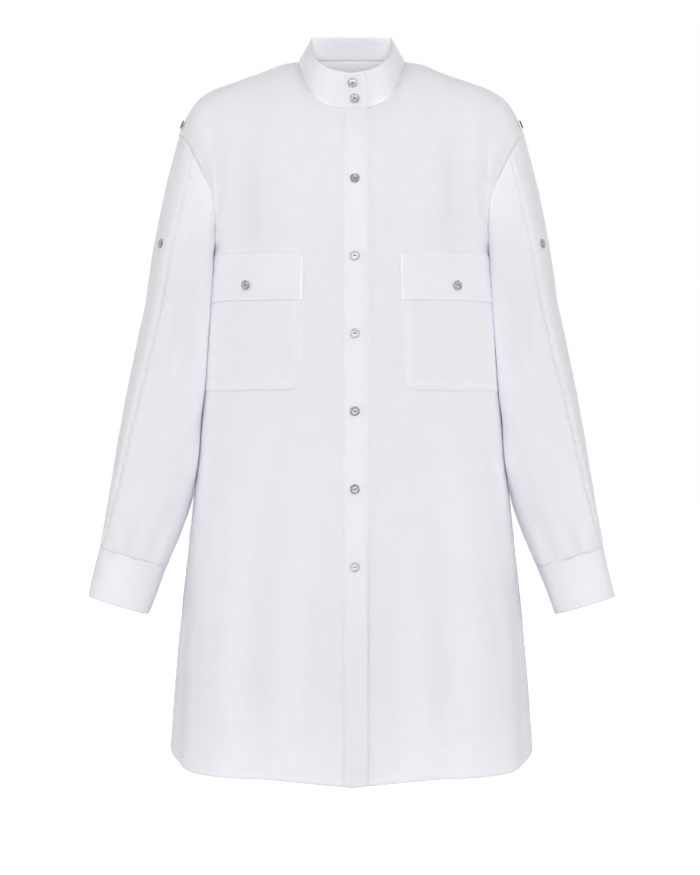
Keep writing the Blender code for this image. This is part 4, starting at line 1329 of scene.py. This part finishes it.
def innerCorner(turn, along):
    # 1 where the front of the sleeve turns towards the body, 0 elsewhere
    low, high = sleeve["cornerTurns"]
    near = np.where((turn > low) & (turn < high), np.sin(math.pi * (turn - low) / (high - low)) ** 2, 0)
    start, end = sleeve["cornerFades"]
    return near * (1 - eased((along - start) / (end - start)))


def besideBody(points, side):
    # where the sleeve meets the body it lies against it
    z = np.clip(points[..., 2], -0.60, body["chestZ"])
    away = body["sideY"] - points[..., 1]
    depth = np.where(away > 0, readCurve(body["sections"], 2, z), readCurve(body["sections"], 3, z))
    cosine = np.clip(np.abs(away) / depth, 0, 1) ** (body["square"] / 2)
    bodyX = readCurve(body["sections"], 1, z) * np.sqrt(1 - cosine**2) ** (2 / body["square"])
    over = side * points[..., 0] - bodyX - sleeve["restsOff"]
    soft = (over + np.sqrt(over**2 + sleeve["restsSoftly"] ** 2)) / 2
    share = eased((body["chestZ"] - points[..., 2]) / 0.03)
    moved = points.copy()
    moved[..., 0] += side * (soft - over) * share
    return moved


def turnFrom(seam, part, share):
    # the front piece runs from the outer seam over the front, the back piece over the back, to under the arm
    first = seam + (0 if part == "front" else 360)
    return first + (180 - first) * share


def sleeveGrid(share, station, part, side):
    # stations below 0 run from the armhole to the first section
    share, station = np.broadcast_arrays(share, station)
    along = np.maximum(station, 0.0)
    *section, seamTurn = [readCurve(sleeve["sections"], i, along) for i in range(1, 8)]
    turn = turnFrom(seamTurn, part, share)
    ridge = sleeve["seamRidge"] * near(wrapped(turn - seamTurn), sleeve["ridgeWidth"])
    ridge *= 1 - eased((along - sleeve["ridgeFades"]) / (1 - sleeve["ridgeFades"]))
    push = ridge + foldHeight(sleeve["folds"], turn, along, 1.5) + sleeveCreases(turn, along)
    lower = ringPoint(section, turn, side, push + sleeve["corner"] * innerCorner(turn, along))
    armTurn = turnFrom(sleeve["armSeam"], part, share)
    start = armholePoint(armTurn, side)
    under = eased(1 - np.abs(wrapped(armTurn - 180)) / sleeve["underarmSpan"])
    blend = np.clip(station + 1, 0, 1)
    hump = 4 * blend * (1 - blend)
    start[..., 0] += side * (sleeve["underarmClearance"] + sleeve["underarmSwell"] * hump) * under
    swell = hump * sleeve["capSwell"] * (1 - under)
    angle = np.radians(armTurn)
    outer = np.stack([side * np.maximum(np.cos(angle), 0), -np.sin(angle), 0 * angle], axis=-1)
    upper = start + (lower - start) * blend[..., None] + outer * swell[..., None]
    return besideBody(np.where((station >= 0)[..., None], lower, upper), side)


# painted light and shade on a sleeve: darker in folds, creases and along the seams, lighter where cloth lies
# double, on the cap, along the armhole and where the sleeve turns towards the body and the cuff
def sleeveTone(share, station, part, u, v):
    share, station = np.broadcast_arrays(share, station)
    along = np.maximum(station, 0.0)
    turn = turnFrom(readCurve(sleeve["sections"], 7, along), part, share)
    height = foldHeight(sleeve["folds"], turn, along, 1.5) + 1.6 * sleeveCreases(turn, along)
    tone = linen["foldTone"] * np.clip(height / 0.0034, -1.3, 1.1)
    tone = tone + 0.8 * linen["doubled"] * band(u, 0.007, 0.002)
    seamShows = eased((station + 0.45) / 0.3)    # the outer seam's painted shade shows below the cap
    if part == "back":
        strip = sleeve["stripTone"] - sleeve["capStrip"] * (1 - seamShows)
        return tone - sleeve["backSeam"] * near(u, 0.0045) * seamShows + strip * eased((0.020 - u) / 0.008)
    wave = 0.75 + 0.25 * ripple(v, sleeve["seamWave"], 1.9 * np.sin(v * 26))
    seamFades = 1 - 0.5 * eased((along - 0.85) / 0.15)
    tone -= sleeve["frontSeam"] * wave * near(u, 0.0045) * seamFades * seamShows
    onCap = 1 - eased((station + 0.25) / 0.25)
    tone += sleeve["armholeTone"] * near(v - 0.010, 0.014) * (1 - 0.5 * eased((share - 0.35) / 0.3))
    tone += sleeve["capTone"] * onCap + sleeve["frontTone"]
    tone += sleeve["capTop"] * (1 - eased((station + 0.75) / 0.3))
    tone += (sleeve["cornerTone"] - 0.04 * onCap) * eased((turn - 110) / 40)
    return tone + sleeve["lowerTone"] * eased((along - 0.78) / 0.18) * eased((turn - 90) / 45)


def sleeveNormals(grid, side):
    # they point away from the sleeve's own middle line, whatever the height
    heights, middles = np.array(sleeve["middle"]).T
    middle = side * np.interp(grid[..., 2], heights, middles)
    away = grid - np.stack([middle, np.full(middle.shape, sleeve["middleY"]), grid[..., 2]], axis=-1)
    normals = faceNormals(grid)
    inwards = ((normals * away).sum(axis=-1) < 0).mean() > 0.5
    return -normals if inwards else normals


def sleevePiece(name, side, part):
    columns = sleeve["columns"][part]
    share = np.linspace(0, 1, columns + 1)
    # one more column close to each edge keeps the seams sharp
    share = np.concatenate([[0, 0.35 / columns], share[1:-1], [1 - 0.35 / columns, 1]])[None, :]
    cap = np.linspace(-1, 0, sleeve["capRows"] + 1)[:-1]
    station = np.concatenate([cap, np.linspace(0, 1, sleeve["rows"] + 1)])[:, None]
    grid = sleeveGrid(share, station, part, side)
    normals = sleeveNormals(grid, side)
    u, v = gridLengths(grid)
    low = v[-1:] - v
    # outer arm seam: its edges turn in, with puckers along it
    height = -sleeve["seamDent"] * near(u, 0.0028)
    wave = ripple(v, sleeve["seamWave"], 1.9 * np.sin(v * 26 + side))
    height += sleeve["seamPucker"] * wave * near(u - 0.0035, 0.0065)
    height -= 0.0007 * near(u[:, -1:] - u, 0.0020)
    # ease at the armhole seam, gathers at the cuff seam
    height += ripple(u, 0.019, 0.9 * np.sin(u * 33)) * 0.0004 * near(v - 0.006, 0.012)
    height += ripple(u, 0.021, 1.3 * np.sin(u * 29 + 2 * side)) * sleeve["gather"] * near(low, 0.016)
    height -= 0.0004 * near(low, 0.0020)
    seed = 7.0 + side + 2 * (part == "front")
    grid = grid + normals * height[..., None]
    grid = crumpled(grid, normals, cloth["crumple"] * 1.1, cloth["crumpleSize"], seed)
    for edge, gap in (("bottom", -0.0003), ("top", -0.0008), ("first", -0.0001), ("last", -0.0001)):
        insetEdge(grid, edge, gap)
    tone = sleeveTone(share, station, part, u, v)
    piece = clothShell("sleeve" + part.title() + name.title(), grid, cloth["wall"], whiteLinen, tone)
    finished(piece, f"sleeve_{part}_{name}")
    if part == "front":
        seam = [("first", sleeve["stitchInset"], 0.02, 0.99, 300)]
        stitches("sleeveStitches" + name.title(), seamPaths(grid, normals, cloth["wall"], seam))


for name, hand in hands:
    sleevePiece(name, hand, "front")
    sleevePiece(name, hand, "back")
print("sleeves made")


# Cuffs

cuff = {
    "freeEnd": -46,
    "underEnd": 352,
    "tuck": 0.0025,
    "tuckStarts": 294,
    "tuckEnds": 314,
    "wall": 0.0018,
    "stitchInset": 0.0050,
    "sway": 0.0007,
    # painted light over the cuff and on its inner side
    "tone": 0.01,
    "innerTone": 0.05,
    # along, x, y, z, half width, half depth, tilt
    "sections": [
        (0.0, 0.2613, -0.013, -0.5935, 0.0411, 0.0410, 17),
        (1.0, 0.2786, -0.019, -0.6507, 0.0372, 0.0380, 16.5),
    ],
}


def cuffPiece(name, side):
    turn = np.linspace(cuff["freeEnd"], cuff["underEnd"], 161)[None, :]
    along = np.linspace(0, 1, 25)[:, None]
    tuck = cuff["tuck"] * eased((turn - cuff["tuckStarts"]) / (cuff["tuckEnds"] - cuff["tuckStarts"]))
    section = [readCurve(cuff["sections"], i, along) for i in range(1, 7)]
    grid = ringPoint(section, turn, side, -tuck)
    u, v = gridLengths(grid)
    normals = faceNormals(grid)
    middle = np.stack([side * section[0], section[1], section[2]], axis=-1)
    if ((grid - middle) * normals).sum() < 0:
        normals = -normals
    edge = np.minimum(np.minimum(v, v[-1:] - v), np.minimum(u, u[:, -1:] - u))
    height = bandSeams(edge)
    height += cuff["sway"] * ripple(u, 0.062, side) * np.sin(math.pi * v / v.max())
    height += 0.00025 * ripple(u, 0.015, np.sin(u * 40)) * near(v, 0.006)
    grid = grid + normals * height[..., None]
    # painted light over the cuff, most on its inner side
    tone = cuff["tone"] + cuff["innerTone"] * eased((turn - 110) / 40) * (1 - eased((turn - 220) / 40))
    piece = clothShell("cuff" + name.title(), grid, bandWall(cuff["wall"], edge), bandLinen, tone)
    finished(piece, "cuff_" + name)
    stitches("cuffStitches" + name.title(), seamPaths(grid, normals, cuff["wall"], [
        ("bottom", cuff["stitchInset"], 0.02, 0.98, 240),
        ("top", cuff["stitchInset"], 0.02, 0.98, 240),
        ("first", cuff["stitchInset"], 0.10, 0.90, 40),
    ]))


for name, hand in hands:
    cuffPiece(name, hand)
print("cuffs made")


# Stitches of the hem and seams

hemInset = panelDetail["hemDepth"] - 0.0008
for name, hand in hands:
    front = fronts[name]
    stitches("frontStitches" + name.title(), seamPaths(front["grid"], front["normals"], cloth["wall"], [
        ("bottom", hemInset, 0.13, 1.0, 150),
        ("last", 0.0062, 0.0, 0.985, 420),
    ]))
stitches("backStitches", seamPaths(back["grid"], back["normals"], cloth["wall"], [
    ("bottom", hemInset, 0.0, 1.0, 260),
    ("top", 0.0055, 0.02, 0.98, 300),
]))
print("seams stitched")


# Buttons

button = {
    "radius": 0.0057,
    "height": 0.0022,
    "rim": 0.0009,
    "dish": 0.0006,
    "edge": 0.0011,
    "holeRadius": 0.0008,
    "holeSpacing": 0.0028,
    "holeSides": 16,
    "sides": 40,
    "threads": 4,
    "threadSides": 6,
    "threadPitch": 0.00034,
    "threadRadius": 0.00022,
    # each button is cut from its own bit of shell: lighter above 0, darker below
    "shades": {
        "collar_upper": 0.08, "placket_1": -0.03, "placket_2": 0.12, "placket_3": 0.12, "placket_4": -0.04,
        "placket_5": -0.08, "placket_6": 0.14, "flap_left": 0.02, "flap_right": 0.02,
        # the shoulder buttons, seen edge-on, are darkened most as painted shade
        "shoulder_left": -0.30, "shoulder_right": -0.30,
    },
}


def turnedButton():
    # a turned profile with two holes cut through
    radius, rim, top = button["radius"], button["rim"], button["height"]
    low = top - button["dish"]
    profile = [
        (0, low), (radius - 2.6 * rim, low), (radius - 2.0 * rim, low + 0.00008),
        (radius - 1.5 * rim, top - 0.0001), (radius - 1.0 * rim, top), (radius - 0.5 * rim, top - 0.0002),
        (radius - 0.1 * rim, top - 0.0006), (radius, button["edge"]), (radius - 0.0003, 0.0003),
        (radius - 0.0012, 0), (0, 0),
    ]
    mesh = bpy.data.meshes.new("buttonTurned")
    mesh.from_pydata([(x, 0, z) for x, z in profile], [(i, i + 1) for i in range(len(profile) - 1)], [])
    turned = linked("buttonTurned", mesh)
    screw = turned.modifiers.new("turn", "SCREW")
    screw.steps = button["sides"]
    screw.render_steps = button["sides"]
    screw.use_merge_vertices = True
    screw.merge_threshold = 0.00001
    cutters = [holeCutter(turned, sign * button["holeSpacing"] / 2) for sign in (-1, 1)]
    graph = bpy.context.evaluated_depsgraph_get()
    made = bpy.data.meshes.new_from_object(turned.evaluated_get(graph))
    for extra in (turned, *cutters):
        bpy.data.objects.remove(extra, do_unlink=True)
    return made


def holeCutter(turned, middle):
    sides, r = button["holeSides"], button["holeRadius"]
    circle = [(math.cos(a), math.sin(a)) for a in np.linspace(0, 2 * math.pi, sides + 1)[:-1]]
    ring = [(middle + r * x, r * y, z) for z in (-0.001, 0.004) for x, y in circle]
    walls = [(i, (i + 1) % sides, sides + (i + 1) % sides, sides + i) for i in range(sides)]
    mesh = bpy.data.meshes.new("hole")
    mesh.from_pydata(ring, [], walls + [tuple(range(sides - 1, -1, -1)), tuple(range(sides, 2 * sides))])
    cutter = linked("hole", mesh)
    cut = turned.modifiers.new("hole", "BOOLEAN")
    cut.operation = "DIFFERENCE"
    cut.object = cutter
    return cutter


def threadStrand(shift, first):
    # a closed round thread up through one hole and down the other
    count, spread = button["threadSides"], button["holeSpacing"] / 2
    low = button["height"] - button["dish"]
    rise = [(-1.0, 0.0002), (-1.0, low - 0.0001), (-0.6, low + 0.00034)]
    path = [np.array([x * spread, shift, z]) for x, z in rise + [(-x, z) for x, z in rise[::-1]]]
    vertices, faces = [], []
    for i, place in enumerate(path):
        run = path[min(i + 1, len(path) - 1)] - path[max(i - 1, 0)]
        flat = np.array([0.0, 1.0, 0.0])
        over = np.cross(run / np.linalg.norm(run), flat)
        for k in range(count):
            a = 2 * math.pi * k / count
            vertices.append(tuple(place + button["threadRadius"] * (math.cos(a) * flat + math.sin(a) * over)))
    for i in range(len(path) - 1):
        for k in range(count):
            a = first + count * i + k
            b = first + count * i + (k + 1) % count
            faces.append((a, b, b + count, a + count))
    faces.append(tuple(first + k for k in range(count - 1, -1, -1)))
    faces.append(tuple(first + count * (len(path) - 1) + k for k in range(count)))
    return vertices, faces


def buttonMesh():
    made = turnedButton()
    vertices = [tuple(v.co) for v in made.vertices]
    faces = [tuple(p.vertices) for p in made.polygons]
    slots = [0] * len(faces)
    for strand in range(button["threads"]):
        shift = (strand - (button["threads"] - 1) / 2) * button["threadPitch"]
        moreVertices, moreFaces = threadStrand(shift, len(vertices))
        vertices += moreVertices
        faces += moreFaces
        slots += [1] * len(moreFaces)
    whole = bpy.data.meshes.new("button")
    whole.from_pydata(vertices, [], faces)
    whole.materials.append(greyShell)
    whole.materials.append(greyThread)
    whole.polygons.foreach_set("material_index", slots)
    whole.shade_smooth()
    whole.set_sharp_from_angle(angle=math.radians(40))
    reach = whole.attributes.new("reach", "FLOAT", "POINT")
    reach.data.foreach_set("value", [min(math.hypot(x, y) / button["radius"], 1.0) for x, y, z in vertices])
    return whole


def buttonPlace(node):
    # the middle of the solid button's back, turned to the way that it faces
    low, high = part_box(node)
    centre = (Vector(low) + Vector(high)) / 2
    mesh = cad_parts[node].data
    normals = np.array([p.normal * p.area for p in mesh.polygons])
    axis = np.linalg.eigh(normals.T @ normals)[1][:, -1]    # most of its faces' area lies across its axis
    corners = np.array([v.co for v in mesh.vertices])
    away = corners.mean(axis=0)
    away[2] = 0
    facing = Vector(axis if np.dot(axis, away) > 0 else -axis).normalized()
    level = Vector((0, 0, 1)).cross(facing).normalized()
    place = Matrix((level, facing.cross(level), facing)).transposed().to_4x4()
    place.translation = centre - facing * button["height"] / 2
    return place


buttonShape = buttonMesh()
for node in sorted(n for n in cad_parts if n.startswith("button_")):
    mesh = buttonShape.copy()
    mesh.transform(buttonPlace(node))
    kind = node.removeprefix("button_")
    shade = mesh.attributes.new("shade", "FLOAT", "POINT")
    shade.data.foreach_set("value", [button["shades"].get(kind, 0.0)] * len(mesh.vertices))
    finished(linked("button" + kind.title().replace("_", ""), mesh), node)
print("buttons made")


# Floor, light and camera

studio = {
    "floorZ": -1.40,
    "floorSize": 60.0,
    "floorColour": (0.93, 0.93, 0.93),
    "floorRoughness": 0.9,
    "floorSpecular": 0.1,
    "floorGlow": 1.0,
    # as the photo is taken: place, sensor in mm, metres seen from top to bottom
    "camera": (-0.002, -4.5, -0.451),
    "sensor": 36,
    "seen": 1.05,
    # strength, azimuth, elevation, angle
    "lights": {
        "frontLight": (2.13, 0.5, 8, 40),
        "rightLight": (1.06, -80, 5, 60),
        "leftLight": (1.06, 80, 5, 60),
        "backLight": (1.8, 180, 8, 60),
        "frontFill": (1.0, 0, 13, 160),
        "backFill": (0.60, 180, 25, 160),
    },
}


def floorPiece():
    half = studio["floorSize"] / 2
    z = studio["floorZ"]
    mesh = bpy.data.meshes.new("floor")
    corners = [(-half, -half, z), (half, -half, z), (half, half, z), (-half, half, z)]
    mesh.from_pydata(corners, [], [(0, 1, 2, 3)])
    material, _, shader = newMaterial("paleFloor", studio["floorRoughness"])
    setInputs(shader, {
        "Base Color": (*studio["floorColour"], 1),
        "Specular IOR Level": studio["floorSpecular"],
        "Emission Color": (1, 1, 1, 1),
        "Emission Strength": studio["floorGlow"],
    })
    mesh.materials.append(material)
    floor = linked("floor", mesh)
    floor.visible_diffuse = False
    floor.visible_shadow = False


def light(name, strength, azimuth, elevation, angle):
    lamp = bpy.data.lights.new(name, "SUN")
    lamp.energy = strength
    lamp.angle = math.radians(angle)
    a, e = math.radians(azimuth), math.radians(elevation)
    towards = Vector((math.sin(a) * math.cos(e), -math.cos(a) * math.cos(e), math.sin(e)))
    linked(name, lamp).rotation_euler = towards.to_track_quat("Z", "Y").to_euler()


def studioLight():
    world = bpy.data.worlds.new("paleStudio")
    world.use_nodes = True
    setInputs(world.node_tree.nodes["Background"], {"Color": (1, 1, 1, 1), "Strength": 1.0})
    world.cycles_visibility.diffuse = False    # the white surround is only seen, the lamps light
    bpy.context.scene.world = world
    for name, values in studio["lights"].items():
        light(name, *values)


def photoCamera():
    camera = linked("camera", bpy.data.cameras.new("camera"))
    camera.location = studio["camera"]
    camera.rotation_euler = (math.pi / 2, 0, 0)
    camera.data.sensor_width = studio["sensor"]
    camera.data.lens = studio["sensor"] * -studio["camera"][1] / studio["seen"]
    bpy.context.scene.camera = camera


floorPiece()
studioLight()
photoCamera()
bpy.context.scene.view_settings.view_transform = "Standard"
print("stage set")
